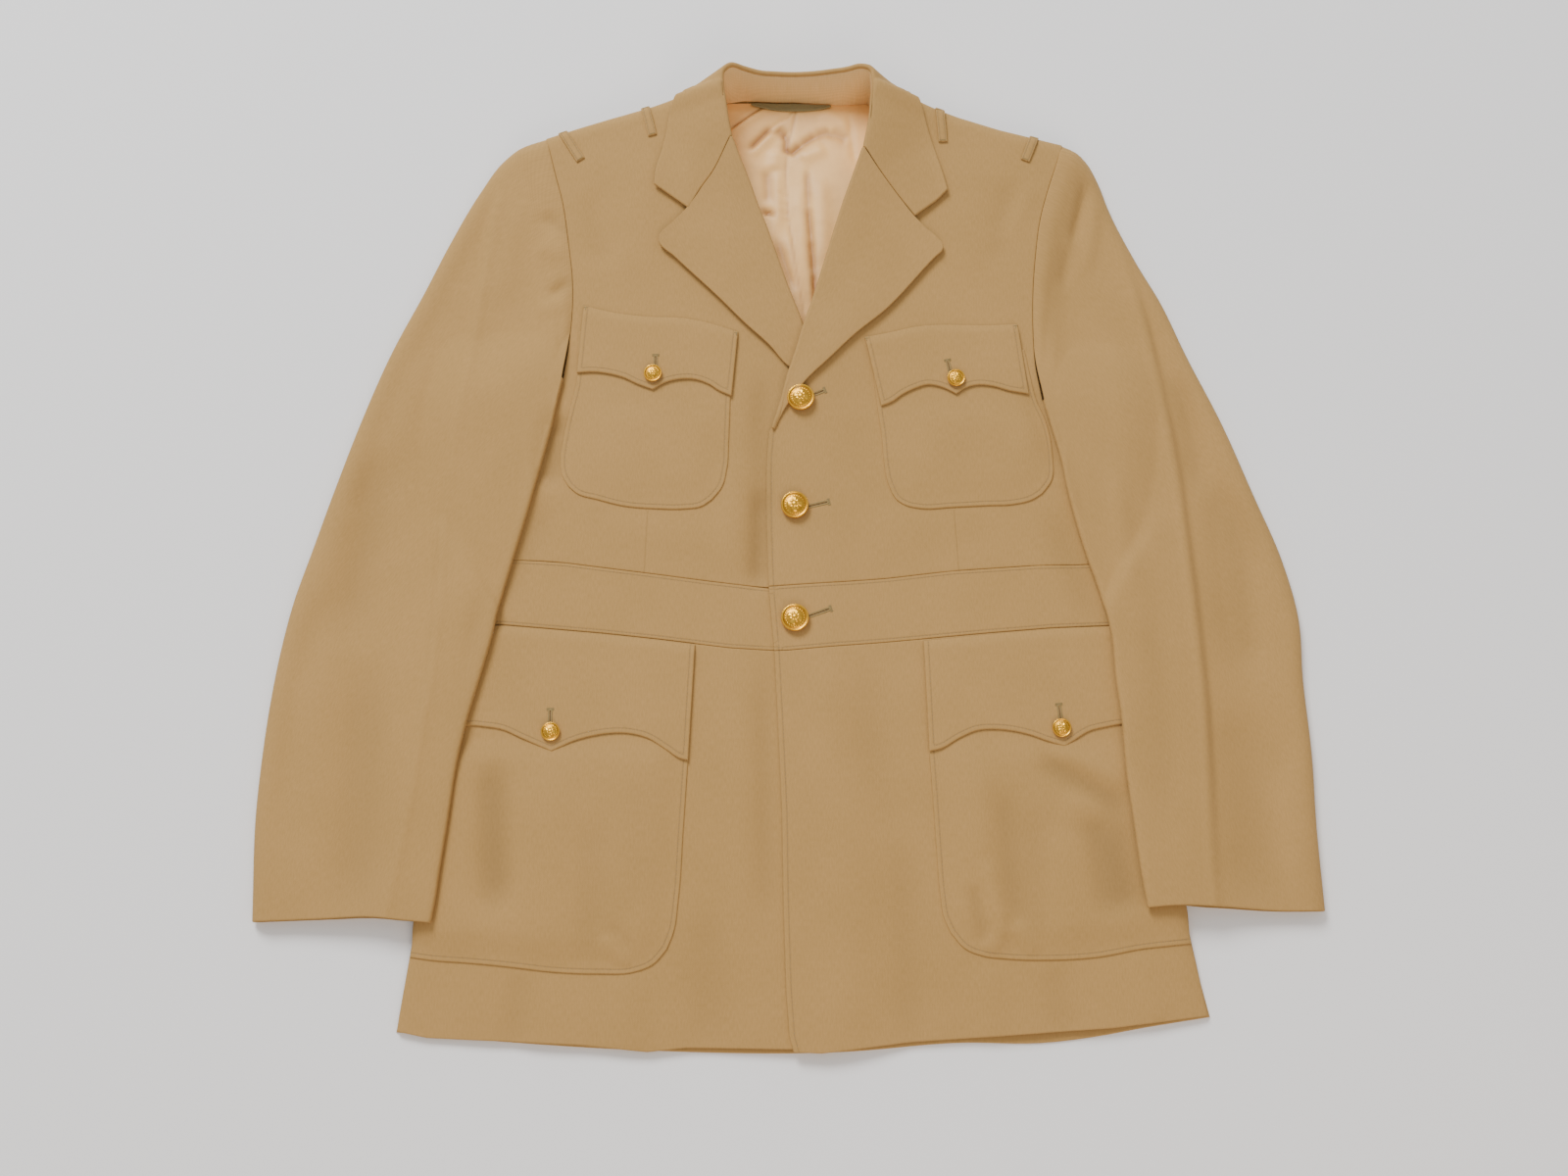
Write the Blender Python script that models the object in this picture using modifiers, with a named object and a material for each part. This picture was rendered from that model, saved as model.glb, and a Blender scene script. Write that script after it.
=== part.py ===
"""Service dress jacket laid flat on its back, buttoned, with the sleeves beside the body.

Every cut piece is its own closed solid: back, chests, belt, skirts, lapels, collar, stand,
sleeves, patch pockets, flaps, shoulder loops, hanger loop, back lining and turned buttons.
Sizes and tables are in millimetres and become metres when a mesh is made.
X runs across the jacket, +Y towards the collar and +Z up from the floor.
"Right" and "left" are the wearer's: the right side is at -X.
"""
import math

import bmesh
import bpy
import numpy as np

MM = 0.001

# Driving dimensions of the cloth.
FLOOR_GAP = 0.3          # clear space kept between pieces that touch
BACK_WALL = 2.0          # back: cloth and its lining
FRONT_WALL = 1.8         # front: cloth, canvas and facing
LAPEL_WALL = 1.8
COLLAR_WALL = 1.8
SLEEVE_WALL = 1.5
POCKET_WALL = 1.1
FLAP_WALL = 1.4
LINING_WALL = 1.0
LOOP_WALL = 1.2
LAY_GAP = 0.45           # between a panel and the piece that lies on it
SEAM_HALF = 0.2          # half of the gap at a seam between two panels
EDGE_LOW = BACK_WALL + FLOOR_GAP   # where the front's edge meets the back
SIDE_ROLL = 14.0         # width over which the front turns down at the side
SHOULDER_ROLL = 12.0     # the same at the shoulder line
BUTTON_RADIUS = 11.0
POCKET_BUTTON_RADIUS = 7.3
# The middle of the whole jacket's box, in the tables' own X and Y.
MIDDLE_X = -1.744
MIDDLE_Y = 2.424


def columns(names, rows):
    """A table with named columns, as a dict of arrays."""
    return dict(zip(names.split(), np.array(rows, float).T))


# Outline of the body seen from above: a row for each height up the jacket.
SIDE = columns("y right left", [
    (-400, -291, 314), (-373, -288, 310), (-305, -279, 298), (-230, -270, 287),
    (-150, -261, 274), (-60, -253, 263), (20, -256, 266), (100, -262, 272),
    (135, -330, 340),
])
# Shoulder line, from the sleeve head to the neck.
SHOULDER = columns("x y", [
    (-320, 300), (-262, 326), (-206, 345), (-179, 354), (-148, 364), (-127, 371), (-98, 381),
    (-60, 392), (5, 394), (75, 392), (113, 378), (144, 365), (179, 353), (233, 339), (300, 320),
])
# Height of the front's inner face over the floor, up the middle of each front.
CROWN = columns("y height", [
    (-405, 4.4), (-370, 5.6), (-300, 7.6), (-200, 9.2), (-100, 9.4), (-40, 9.6), (20, 11.2),
    (90, 13.2), (150, 14.4), (200, 16.0), (260, 18.6), (320, 21.8), (360, 23.0), (400, 23.0),
])
# The seams at the top and bottom of the sewn-in belt, and the hem, across the jacket.
BELT_TOP = columns("x right left", [
    (-270, -22, -46), (-218, -23, -46), (-176, -26, -46), (-139, -31, -46), (-101, -36, -46),
    (-64, -41, -46), (-15, -47, -46), (42, -48, -42), (81, -48, -38.5), (129, -48, -33),
    (197, -48, -28), (275, -48, -26),
])
BELT_LOW = columns("x right left", [
    (-275, -74, -99), (-230, -76, -99), (-195, -79, -99), (-149, -83, -99), (-103, -88, -99),
    (-46, -95, -99), (0, -98, -97.5), (38, -99, -94), (105, -99, -88), (158, -99, -83),
    (206, -99, -79), (280, -99, -76),
])
HEM = columns("x right left", [
    (-292, -384, -398), (-267, -389, -398), (-221, -391, -398), (-154, -394, -398),
    (-104, -399, -398), (-76, -396, -398), (-2, -397, -399), (25, -397, -400),
    (53, -397, -396.5), (90, -397, -392), (166, -397, -387), (239, -397, -382), (312, -397, -373),
])
# Free front edge of the left front, which laps over the right one.
FRONT_EDGE = columns("y x", [
    (-400, 4), (-388, 0.5), (-354, -2), (-290, -4), (-224, -5), (-157, -8), (-99, -11),
    (-47, -15), (17, -15.5), (84, -15), (95, -14),
])
UNDERLAP_X = 22.0        # hidden edge of the right front
# Roll line of each lapel and collar: where the cloth folds over, and its height there.
ROLL_RIGHT = columns("y x z", [
    (110, 22, 17.6), (125, 22, 18.0), (150, 20, 19.0), (175, 13, 20.6), (200, 3, 22.4), (235, -9, 25.2),
    (256, -16, 27.2), (276, -24, 29.2), (292, -29, 31.2), (312, -37, 34), (328, -43, 36.4),
    (339, -47, 38.2), (353, -49.5, 40.4), (372, -52.5, 42.6), (388, -55, 44.4), (402, -56, 45),
])
ROLL_LEFT = columns("y x z", [
    (80, -15, 20.0), (92, -12.5, 20.6), (102, -8.5, 21.2), (115, -4.5, 22.0), (127, -2, 23.0),
    (137, 1, 23.8), (152, 6, 24.8), (173, 12, 25.8), (200, 21, 26.6), (234, 31, 28.2),
    (266, 40.5, 30.2), (286, 47, 32.2), (298, 51.5, 33.8), (312, 56, 35.6), (325, 61, 37.6),
    (338, 64, 39.6), (351, 66.5, 41.4), (366, 68, 43.2), (383, 69, 44.6), (402, 71, 45),
])
RIDGE_WIDTH = 42.0       # how far the front's rise towards a roll line spreads
LAPEL_STACK = LAPEL_WALL + LAY_GAP + FRONT_WALL + 0.5   # fold's top down to the front's inner face
OVERLAP_RISE = FRONT_WALL + 0.5                          # the left front lies on the right one
OVERLAP_FADE = (26.0, 80.0)


def ease(s):
    """Smooth step from 0 to 1."""
    s = np.clip(s, 0, 1)
    return s * s * (3 - 2 * s)


def turn(s):
    """Quarter round: rises from 0 straight up and levels out at 1."""
    s = np.clip(s, 0, 1)
    return np.sqrt(1 - (1 - s) ** 2)


def side_turn(x, y):
    """How far the front has turned down towards a side seam: 0 at the seam, 1 clear of it."""
    right = x - np.interp(y, SIDE["y"], SIDE["right"])
    left = np.interp(y, SIDE["y"], SIDE["left"]) - x
    return turn(np.minimum(right, left) / SIDE_ROLL)


def shoulder_turn(x, y):
    """The same at the shoulder line."""
    return turn((np.interp(x, SHOULDER["x"], SHOULDER["y"]) - y) / SHOULDER_ROLL)


def crown(x, y):
    """Height of the front's inner face before it turns down at its edges: the crown table, a
    little lower towards the sides, with soft waves at the hem."""
    base = np.interp(y, CROWN["y"], CROWN["height"])
    spread = 1 - 0.14 * ease((np.abs(x - 5) - 120) / 150)
    wave = 0.8 * np.sin(x / 31.0 + 0.7) * ease((-300 - y) / 80)
    return base * spread + wave


def ridge(height, x, y, roll, plateau):
    """Raises height to meet the fold of a roll line: full at the line, fading away from it."""
    outward = 1 if roll is ROLL_LEFT else -1
    away = outward * (x - np.interp(y, roll["y"], roll["x"])) * 0.93
    target = np.interp(y, roll["y"], roll["z"]) - LAPEL_STACK
    fade = np.exp(-(np.clip(away - plateau, 0, None) / RIDGE_WIDTH) ** 2)
    return height + (target - height) * fade * ease((y - roll["y"][0]) / 15)


def right_front(x, y):
    """Inner face of the right front over the floor."""
    top = ridge(crown(x, y), x, y, ROLL_RIGHT, 0.0)
    return EDGE_LOW + (top - EDGE_LOW) * side_turn(x, y) * shoulder_turn(x, y)


def left_front(x, y):
    """Inner face of the left front, which rises to lie over the right one and its lapel."""
    rise = OVERLAP_RISE * (1 - ease((x - OVERLAP_FADE[0]) / (OVERLAP_FADE[1] - OVERLAP_FADE[0])))
    rise = rise * (1 - ease((y - 200) / 60))
    plateau = 17 * (1 - ease((y - 170) / 60))
    top = ridge(crown(x, y) + rise, x, y, ROLL_LEFT, plateau)
    return EDGE_LOW + (top - EDGE_LOW) * side_turn(x, y) * shoulder_turn(x, y)


def moved_out(x, y, height, distance):
    """Points of a height function moved out along its normal."""
    step = 0.05
    slope_x = (height(x + step, y) - height(x - step, y)) / (2 * step)
    slope_y = (height(x, y + step) - height(x, y - step)) / (2 * step)
    length = np.sqrt(slope_x ** 2 + slope_y ** 2 + 1)
    return np.stack([
        x - slope_x / length * distance,
        y - slope_y / length * distance,
        height(x, y) + distance / length,
    ], -1)


def curve(points, s):
    """Smooth curve through the points at shares s of its length (cubic Hermite)."""
    points = np.array(points, float)
    knots = np.concatenate([[0], np.cumsum(np.linalg.norm(np.diff(points, axis=0), axis=1))])
    knots /= knots[-1]
    slopes = np.gradient(points, knots, axis=0)
    s = np.clip(np.asarray(s, float), 0, 1)
    low = np.clip(np.searchsorted(knots, s, "right") - 1, 0, len(points) - 2)
    width = knots[low + 1] - knots[low]
    t = ((s - knots[low]) / width)[..., None]
    width = width[..., None]
    return ((2 * t ** 3 - 3 * t ** 2 + 1) * points[low] + (t ** 3 - 2 * t ** 2 + t) * width * slopes[low]
            + (3 * t ** 2 - 2 * t ** 3) * points[low + 1] + (t ** 3 - t ** 2) * width * slopes[low + 1])


def chain(parts, s, corners=None):
    """Several curves end to end, with corners where they meet, at shares s of the whole.
    The corners fall at the given shares, or where the lengths put them."""
    lengths = [np.linalg.norm(np.diff(np.array(p, float), axis=0), axis=1).sum() for p in parts]
    ends = np.concatenate([[0], np.cumsum(lengths)]) / sum(lengths)
    if corners:
        ends = np.array([0, *corners, 1])
    s = np.asarray(s, float)
    found = curve(parts[0], s / ends[1])
    for n in range(1, len(parts)):
        share = (s - ends[n]) / (ends[n + 1] - ends[n])
        found = np.where((s > ends[n])[..., None], curve(parts[n], share), found)
    return found


def patch(low, high, start, end, u, v):
    """Coons patch: low and high are curves of u, start and end are curves of v."""
    u, v = np.broadcast_arrays(np.asarray(u, float), np.asarray(v, float))
    a, b = u[..., None], v[..., None]
    zero, one = np.zeros(1), np.ones(1)
    corners = ((1 - a) * (1 - b) * low(zero)[0] + a * (1 - b) * low(one)[0]
               + (1 - a) * b * high(zero)[0] + a * b * high(one)[0])
    return (1 - b) * low(u) + b * high(u) + (1 - a) * start(v) + a * end(v) - corners


def shares(length, near=(), far=(), count=8):
    """Shares 0..1 of a length, with extra lines at the distances near its start and far end."""
    first = [d / length for d in near]
    last = [1 - d / length for d in reversed(far)]
    low = first[-1] if first else 0
    high = last[0] if last else 1
    middle = np.linspace(low, high, count + 1)
    return np.array(first[:-1] + list(middle) + last[1:])


def new_material(name, colour, roughness, metallic=0.0):
    material = bpy.data.materials.new(name)
    material.use_nodes = True
    shader = material.node_tree.nodes["Principled BSDF"]
    shader.inputs["Base Color"].default_value = (*colour, 1)
    shader.inputs["Roughness"].default_value = roughness
    shader.inputs["Metallic"].default_value = metallic
    return material


def place(name, mesh, material):
    mesh.materials.append(material)
    made = bpy.data.objects.new(name, mesh)
    jacket.objects.link(made)
    return made


def cloth(name, points, wall, material, outward=1.0, closed=False):
    """An open sheet of cloth through a grid of points (rows, columns, xyz in mm), thickened by
    Solidify. The grid's rows run +Y or along the piece and its columns +X, so it faces up."""
    rows, cols = points.shape[:2]
    work = bmesh.new()
    bmesh.ops.create_grid(work, x_segments=cols - 1, y_segments=rows - 1, size=1.0)
    work.verts.ensure_lookup_table()
    centred = np.array(points, float) - (MIDDLE_X, MIDDLE_Y, 0)
    for vert, point in zip(work.verts, centred.reshape(-1, 3)):
        vert.co = point * MM
    if closed:
        pairs = [v for r in range(rows) for v in (work.verts[r * cols], work.verts[r * cols + cols - 1])]
        bmesh.ops.remove_doubles(work, verts=pairs, dist=1e-6)
    mesh = bpy.data.meshes.new(name)
    work.to_mesh(mesh)
    work.free()
    mesh.shade_smooth()
    made = place(name, mesh, material)
    solidify = made.modifiers.new("Wall", "SOLIDIFY")
    solidify.thickness = wall * MM
    solidify.offset = outward
    return made


bpy.context.preferences.edit.use_global_undo = False
for old in list(bpy.data.objects):
    bpy.data.objects.remove(old)
jacket = bpy.data.collections.new("service_dress_jacket")
bpy.context.scene.collection.children.link(jacket)

khaki = new_material("khaki_cloth", (0.45, 0.31, 0.155), 0.85)
khaki_inside = new_material("collar_stand_cloth", (0.43, 0.30, 0.15), 0.85)
satin = new_material("lining_satin", (0.66, 0.46, 0.30), 0.45)
tape = new_material("hanger_tape", (0.27, 0.24, 0.12), 0.7)
gilt = new_material("gilt_brass", (0.83, 0.55, 0.14), 0.28, 1.0)

NEAR_SIDE = (0.0, 0.7, 2.6, 6.6, SIDE_ROLL)
NEAR_ROLL = (0.0, 8.0, 18.0, 30.0, 45.0)


# Chest panels: side seam, armhole, shoulder line, neck and roll line, down to the belt.
ARMHOLE_RIGHT = [(-262, 100), (-238, 108), (-208, 117), (-184, 128)], [
    (-184, 128), (-179, 169), (-178, 208), (-183, 250), (-189, 286), (-196, 312), (-201, 330), (-206, 345)]
ARMHOLE_LEFT = [(272, 100), (250, 101), (226, 104), (207, 109)], [
    (207, 109), (202, 140), (201, 170), (202, 203), (205, 235), (210, 268), (218, 297), (226, 319), (233, 339)]
ROLL_SETBACK = 3.0       # the front's edge stops short of the fold that wraps it


def side_x(name, y):
    return np.interp(y, SIDE["y"], SIDE[name])


def chest(name, side, height, armhole, edge, count):
    """edge runs from the belt up the free edge and the roll line to the neck."""
    sign = -1 if side == "right" else 1
    seam = lambda x: np.interp(x, BELT_TOP["x"], BELT_TOP[side]) + SEAM_HALF
    start_x = float(side_x(side, -24))
    low_points = [(x, float(seam(x))) for x in np.linspace(start_x, edge[0][0], 9)]
    side_points = [(float(side_x(side, y)), y) for y in (low_points[0][1], 0, 30, 65, 100)]
    edge = [(edge[0][0], low_points[-1][1])] + edge[1:]
    armhole = [[(x - sign * SEAM_HALF, y - SEAM_HALF) for x, y in part] for part in armhole]
    side_points[-1] = armhole[0][0]
    top = [armhole[1][-1]] + [(x, float(np.interp(x, SHOULDER["x"], SHOULDER["y"])))
                              for x in np.linspace(armhole[1][-1][0], edge[-1][0], 6)[1:-1]] + [edge[-1]]
    widths = np.interp(rows_of_chest, [0, 0.35, 1], [260, 250, 150])
    u = np.array([shares(w, near=NEAR_SIDE, far=NEAR_ROLL, count=count) for w in widths])
    v = rows_of_chest[:, None] + 0 * u
    xy = patch(lambda s: curve(low_points, s), lambda s: curve(top, s),
               lambda s: chain([side_points, *armhole], s), lambda s: chain(edge_parts(edge), s), u, v)
    if side == "left":
        xy = xy[:, ::-1]
    x, y = xy[..., 0], xy[..., 1]
    return cloth(name, np.stack([x, y, height(x, y)], -1), FRONT_WALL, khaki)


def edge_parts(edge):
    """The free edge is one stretch and the roll line above it another."""
    turn_at = next(n for n, p in enumerate(edge) if p[1] > 80)
    return [edge[:turn_at + 1], edge[turn_at:]]


rows_of_chest = shares(420, near=(0.0, 14.0), far=(0.0, 0.8, 3.0, 7.0, SHOULDER_ROLL, 24.0, 38.0, 54.0), count=10)
def set_back(roll, sign, first):
    """Points beside a roll line, a little further out at the break and under the collar."""
    extra = 1.8 * ease((roll["y"] - 315) / 20) + 2.6 * (1 - ease((roll["y"] - 112) / 30))
    across = roll["x"] + sign * (ROLL_SETBACK + extra)
    return [(float(x), float(y)) for x, y in zip(across[first:-1], roll["y"][first:-1])]


right_edge = [(UNDERLAP_X, -47), (UNDERLAP_X, 40), (UNDERLAP_X, 110)] + set_back(ROLL_RIGHT, -1, 1) + [(-60, 390)]
left_edge = [(-15.2, -46), (-15.5, 17), (-15, 83)] + set_back(ROLL_LEFT, 1, 1) + [(76, 390)]
chest("chest_right", "right", right_front, ARMHOLE_RIGHT, right_edge, 5)
chest("chest_left", "left", left_front, ARMHOLE_LEFT, left_edge, 5)


# Belt: one band on each front, sewn in between the chest and the skirt.
def band(name, side, height, high, low, edge_x, rows, count):
    """A panel between two seams, from the side seam to the front edge."""
    v = rows[:, None]
    y_mid = (high(0.0) + low(0.0)) / 2
    y = np.full((len(rows), 1), y_mid)
    outer = side_x(side, low(side_x(side, y_mid)) + v * (high(0.0) - low(0.0)))
    inner = edge_x(low(0.0) + v * (high(0.0) - low(0.0)))
    u = np.array([shares(abs(float(b - a)), near=NEAR_SIDE, count=count)
                  for a, b in zip(outer[:, 0], inner[:, 0])])
    x = outer + (inner - outer) * u
    y = low(x) + v * (high(x) - low(x))
    if side == "left":
        x, y = x[:, ::-1], y[:, ::-1]
    return cloth(name, np.stack([x, y, height(x, y)], -1), FRONT_WALL, khaki)


def front_edge_x(y):
    return np.interp(y, FRONT_EDGE["y"], FRONT_EDGE["x"])


def underlap_x(y):
    return UNDERLAP_X + 0 * np.asarray(y, float)


for side, height, edge_x in (("right", right_front, underlap_x), ("left", left_front, front_edge_x)):
    belt_top = lambda x, s=side: np.interp(x, BELT_TOP["x"], BELT_TOP[s]) - SEAM_HALF
    belt_low = lambda x, s=side: np.interp(x, BELT_LOW["x"], BELT_LOW[s]) + SEAM_HALF
    skirt_top = lambda x, s=side: np.interp(x, BELT_LOW["x"], BELT_LOW[s]) - SEAM_HALF
    hem = lambda x, s=side: np.interp(x, HEM["x"], HEM[s])
    band("belt_" + side, side, height, belt_top, belt_low, edge_x, np.linspace(0, 1, 4), 7)
    band("skirt_" + side, side, height, skirt_top, hem, edge_x, shares(300, near=(0.0, 10.0), count=9), 7)


# Back: one flat sheet on the floor, out to the side seams, the armholes and the shoulder line.
BACK_ARMHOLE_RIGHT = [(-262, 100), (-250, 150), (-236, 220), (-219, 290), (-203.5, 345)]
BACK_ARMHOLE_LEFT = [(272, 100), (262, 150), (252, 220), (241.5, 290), (230.5, 339)]
BACK_HEM = [(-291, -385), (-221, -391), (-104, -398), (40, -399), (126, -392), (189, -392), (228, -387), (313, -374)]


def back():
    side_y = (-385, -300, -200, -100, 0, 100)
    right = [[(float(side_x("right", y)), y) for y in side_y], BACK_ARMHOLE_RIGHT]
    left_y = (-374,) + side_y[1:]
    left = [[(float(side_x("left", y)), y) for y in left_y], BACK_ARMHOLE_LEFT]
    right[0][0] = BACK_HEM[0]
    left[0][0] = BACK_HEM[-1]
    top = [(x, float(np.interp(x, SHOULDER["x"], SHOULDER["y"])))
           for x in (-203.5, -150, -98, -60, 5, 75, 113, 160, 230.5)]
    u = np.linspace(0, 1, 13)[None, :]
    v = np.concatenate([np.linspace(0, 0.66, 8), np.linspace(0.66, 1, 6)[1:]])[:, None]
    xy = patch(lambda s: curve(BACK_HEM, s), lambda s: curve(top, s),
               lambda s: chain(right, s, [0.66]), lambda s: chain(left, s, [0.66]), u, v)
    return cloth("back", np.concatenate([xy, 0 * xy[..., :1]], -1), BACK_WALL, khaki)


back()


# Sleeves: a tube each, pressed flat, lying on the floor and on the edge of the body.
FOLD_HALF = 2.2          # half of the clear height inside a fold
SLEEVE_RISE = 9.0        # clear height of the sleeve where it lies on the floor
POCKET_BUMP = POCKET_WALL + FLAP_WALL + 2 * LAY_GAP + 0.4
SEAM_RIGHT = [(-207.6, 342), (-201.4, 330), (-196.4, 312), (-189.4, 286), (-183.4, 250), (-178.4, 208),
              (-179.4, 169), (-184.4, 128)]
SEAM_LEFT = [(234.8, 336), (226.4, 319), (218.4, 297), (210.4, 268), (205.4, 235), (202.4, 203),
             (201.4, 170), (202.4, 140), (207.4, 109)]
OUTER_RIGHT = [(-402, -305), (-406, -219), (-405, -185), (-402, -139), (-397, -96), (-390, -57), (-379, -17),
               (-364, 37), (-346, 97), (-326, 154), (-302, 208), (-282, 255), (-259, 298), (-238, 326),
               (-228, 333), (-207.6, 342)]
OUTER_LEFT = [(402.5, -297), (401.5, -231), (402.5, -181), (400.5, -118), (401, -70), (391.5, -22),
              (373, 32), (352, 92), (325, 156), (308, 200), (290, 235), (267, 285), (260, 305),
              (252, 321), (243, 330), (234.8, 336)]
INNER_RIGHT = [(-268, -306), (-266, -293), (-263, -264), (-259, -229), (-254, -184), (-249, -157),
               (-240, -120), (-232, -87), (-227, -57), (-219, -24), (-207, 23), (-199, 58),
               (-191, 94), (-184.4, 128)]
INNER_LEFT = [(269, -292), (266, -273), (262, -232), (258, -187), (257, -154), (254, -120), (253, -90),
              (248, -60), (234, -11), (223, 38), (220, 58), (214, 83), (207.4, 109)]
CUFF_RIGHT = [(-402, -305), (-375, -304), (-347, -303), (-310, -302), (-290, -304), (-268, -306)]
CUFF_LEFT = [(402.5, -297), (366, -296), (326, -292), (285, -290), (269, -292)]


def body_below(side, x, y):
    """Height of what a sleeve lies on: the floor, or the front's side with its pocket and flap."""
    sign = -1 if side == "right" else 1
    inside = sign * (side_x(side, np.minimum(y, 100)) - x)
    hidden = ARMHOLE_RIGHT[0] if side == "right" else ARMHOLE_LEFT[0][::-1]
    path_y = np.interp(x, [p[0] for p in hidden], [p[1] for p in hidden])
    pocket = ease((-56 - y) / 14) * ease((y + 352) / 14)
    lie = crown(x, y) + FRONT_WALL + 0.6 + POCKET_BUMP * pocket
    return lie * ease((inside + 23) / 31) * (1 - ease((y - path_y) / 16))


def sleeve(name, side, seam, outer, inner, cuff, hidden):
    """hidden is the sewn edge of the lower layer: up the back armhole and along the underarm."""
    v = shares(440, near=(0.0, 10.0), far=(0.0, 6.0, 18.0, 40.0), count=10)[:, None]
    width = 140 + 70 * v[:, 0]
    span = abs(outer[-1][1] - outer[0][1])
    layers = []
    fold = curve(inner, v[:, 0])
    edge_in = np.abs(fold[:, 0] - side_x(side, np.minimum(fold[:, 1], 100)))
    for high, count in ((lambda s: curve(seam, s), 5), (lambda s: chain(hidden, s, [0.62]), 2)):
        u = np.array([shares(w, near=(0.0, 0.6, 2.4, 6.0, 13.0), far=(0.0, 0.6, 2.4, 6.0, 13.0), count=count)
                      for w in width])
        if layers:
            steps = np.linspace(0, 1, 7)[None, :]
            over = 6 + (edge_in[:, None] + 24 - 6) * steps
            rim = np.array([0.0, 0.6, 2.4])[None, :] + 0 * over[:, :1]
            away = np.concatenate([rim, over], 1)[:, ::-1]
            beyond = np.array([0.0, 0.6, 2.4, 6.0])[None, :] + 0 * over[:, :1]
            share = np.linspace(0, 1, 4)[None, 1:-1]
            between = 6 + (width[:, None] - away[:, :1] - 6) * share
            u = np.concatenate([beyond, between, width[:, None] - away], 1) / width[:, None]
        xy = patch(lambda s: curve(cuff, s), high, lambda s: curve(outer, s), lambda s: curve(inner, s), u, v)
        x, y = xy[..., 0], xy[..., 1]
        below = body_below(side, x, y)
        d_out = u * width[:, None]
        d_in = (1 - u) * width[:, None]
        middle = SLEEVE_WALL + below + FOLD_HALF
        if not layers:
            inner_top = below[:, -1:] + 1.6 * FOLD_HALF
            top = SLEEVE_RISE + (inner_top - SLEEVE_RISE) * (1 - ease((d_in - 28) / 90))
            top = np.maximum(top, below + 1.2 * FOLD_HALF) + SLEEVE_WALL
            seam_x, seam_y = x[-1:], np.minimum(y[-1:], 335)
            seam_top = crown(seam_x, seam_y) + 0.8 + 4.0 * np.exp(-(d_in[-1:] / 16) ** 2)
            near = np.exp(-(((1 - v) * span) / 34) ** 2)
            top = top * (1 - near) + seam_top * near
            z = middle + (top - middle) * turn(np.minimum(d_out / 13, d_in / 6))
        else:
            z = middle - FOLD_HALF * turn(np.minimum(d_out, d_in) / 6)
        layers.append(np.stack([x, y, z], -1))
    ring = np.concatenate([layers[0], layers[1][:, ::-1][:, 1:]], 1)
    if side == "left":
        ring = ring[:, ::-1]
    return cloth(name, ring, SLEEVE_WALL, khaki, closed=True)


def shifted(points, dx, dy):
    return [(x + dx, y + dy) for x, y in points]


hidden_right = [shifted(BACK_ARMHOLE_RIGHT[::-1], -4.0, 0), shifted(ARMHOLE_RIGHT[0], -0.4, 0)]
hidden_left = [shifted(BACK_ARMHOLE_LEFT[::-1], 4.0, 0), shifted(ARMHOLE_LEFT[0], 0.4, 0)]
for hidden, seam in ((hidden_right, SEAM_RIGHT), (hidden_left, SEAM_LEFT)):
    hidden[0][0] = seam[0]
    hidden[1][0] = hidden[0][-1]
    hidden[1][-1] = seam[-1]
sleeve("sleeve_right", "right", SEAM_RIGHT, OUTER_RIGHT, INNER_RIGHT, CUFF_RIGHT, hidden_right)
sleeve("sleeve_left", "left", SEAM_LEFT, OUTER_LEFT, INNER_LEFT, CUFF_LEFT, hidden_left)


# Lapels: each turned out from its roll line, lying on the front.
FOLD_INNER = (LAPEL_STACK - 2 * LAPEL_WALL) / 2      # radius inside a turned fold
FOLD_STEPS = 5


def roll_points(roll, low, high, count):
    """Points on a roll line between two heights up the jacket."""
    y = np.linspace(low, high, count)
    return np.stack([np.interp(y, roll["y"], roll["x"]), y, np.interp(y, roll["y"], roll["z"])], -1)


def fold_points(centre, outward, tilt, inner, wall):
    """Half circle inside a turned fold, from the layer below round to the layer on top. tilt
    turns the fold's open side from sideways (0) to downwards (a quarter turn)."""
    flat = np.concatenate([outward, 0 * outward[:, :1]], -1)
    up = np.array([0.0, 0.0, 1.0])
    mouth = flat * np.cos(tilt)[:, None] - up * np.sin(tilt)[:, None]
    across = flat * np.sin(tilt)[:, None] + up * np.cos(tilt)[:, None]
    angle = np.linspace(-math.pi / 2, math.pi / 2, FOLD_STEPS)[None, :, None]
    return centre[:, None] + inner * (across[:, None] * np.sin(angle) - mouth[:, None] * np.cos(angle))


def lapel(name, side, height, roll, low, high, lower_edge, gorge, count):
    sign = -1 if side == "right" else 1
    v = shares(200, count=count)
    line = curve(roll_points(roll, low, high, 9), v)
    along = np.gradient(line[:, :2], v, axis=0)
    along /= np.linalg.norm(along, axis=1)[:, None]
    outward = sign * np.stack([along[:, 1], -along[:, 0]], -1)
    radius = FOLD_INNER + LAPEL_WALL
    centre = line.copy()
    centre[:, :2] += outward * radius
    centre[:, 2] -= radius
    fold = fold_points(centre, outward, 0 * v, FOLD_INNER, LAPEL_WALL)
    start_xy = centre[:, :2]
    u = np.array([0, 0.05, 0.13, 0.26, 0.42, 0.6, 0.8, 1.0])[None, :]
    low_edge = [tuple(start_xy[0]), lower_edge[0]]
    top_edge = [tuple(start_xy[-1])] + gorge
    xy = patch(lambda s: curve(low_edge, s), lambda s: curve(top_edge, s),
               lambda s: curve(start_xy, s), lambda s: chain([lower_edge], s), u, v[:, None])
    x, y = xy[..., 0], xy[..., 1]
    lift = 0.6 + 2.2 * ease(u) * ease(v[:, None] / 0.25)
    top = moved_out(x, y, height, FRONT_WALL + LAY_GAP)
    top[..., 2] += lift
    points = np.concatenate([fold, top[:, 1:]], 1)
    if side == "right":
        points = points[:, ::-1]
    return cloth(name, points, LAPEL_WALL, khaki)


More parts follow.
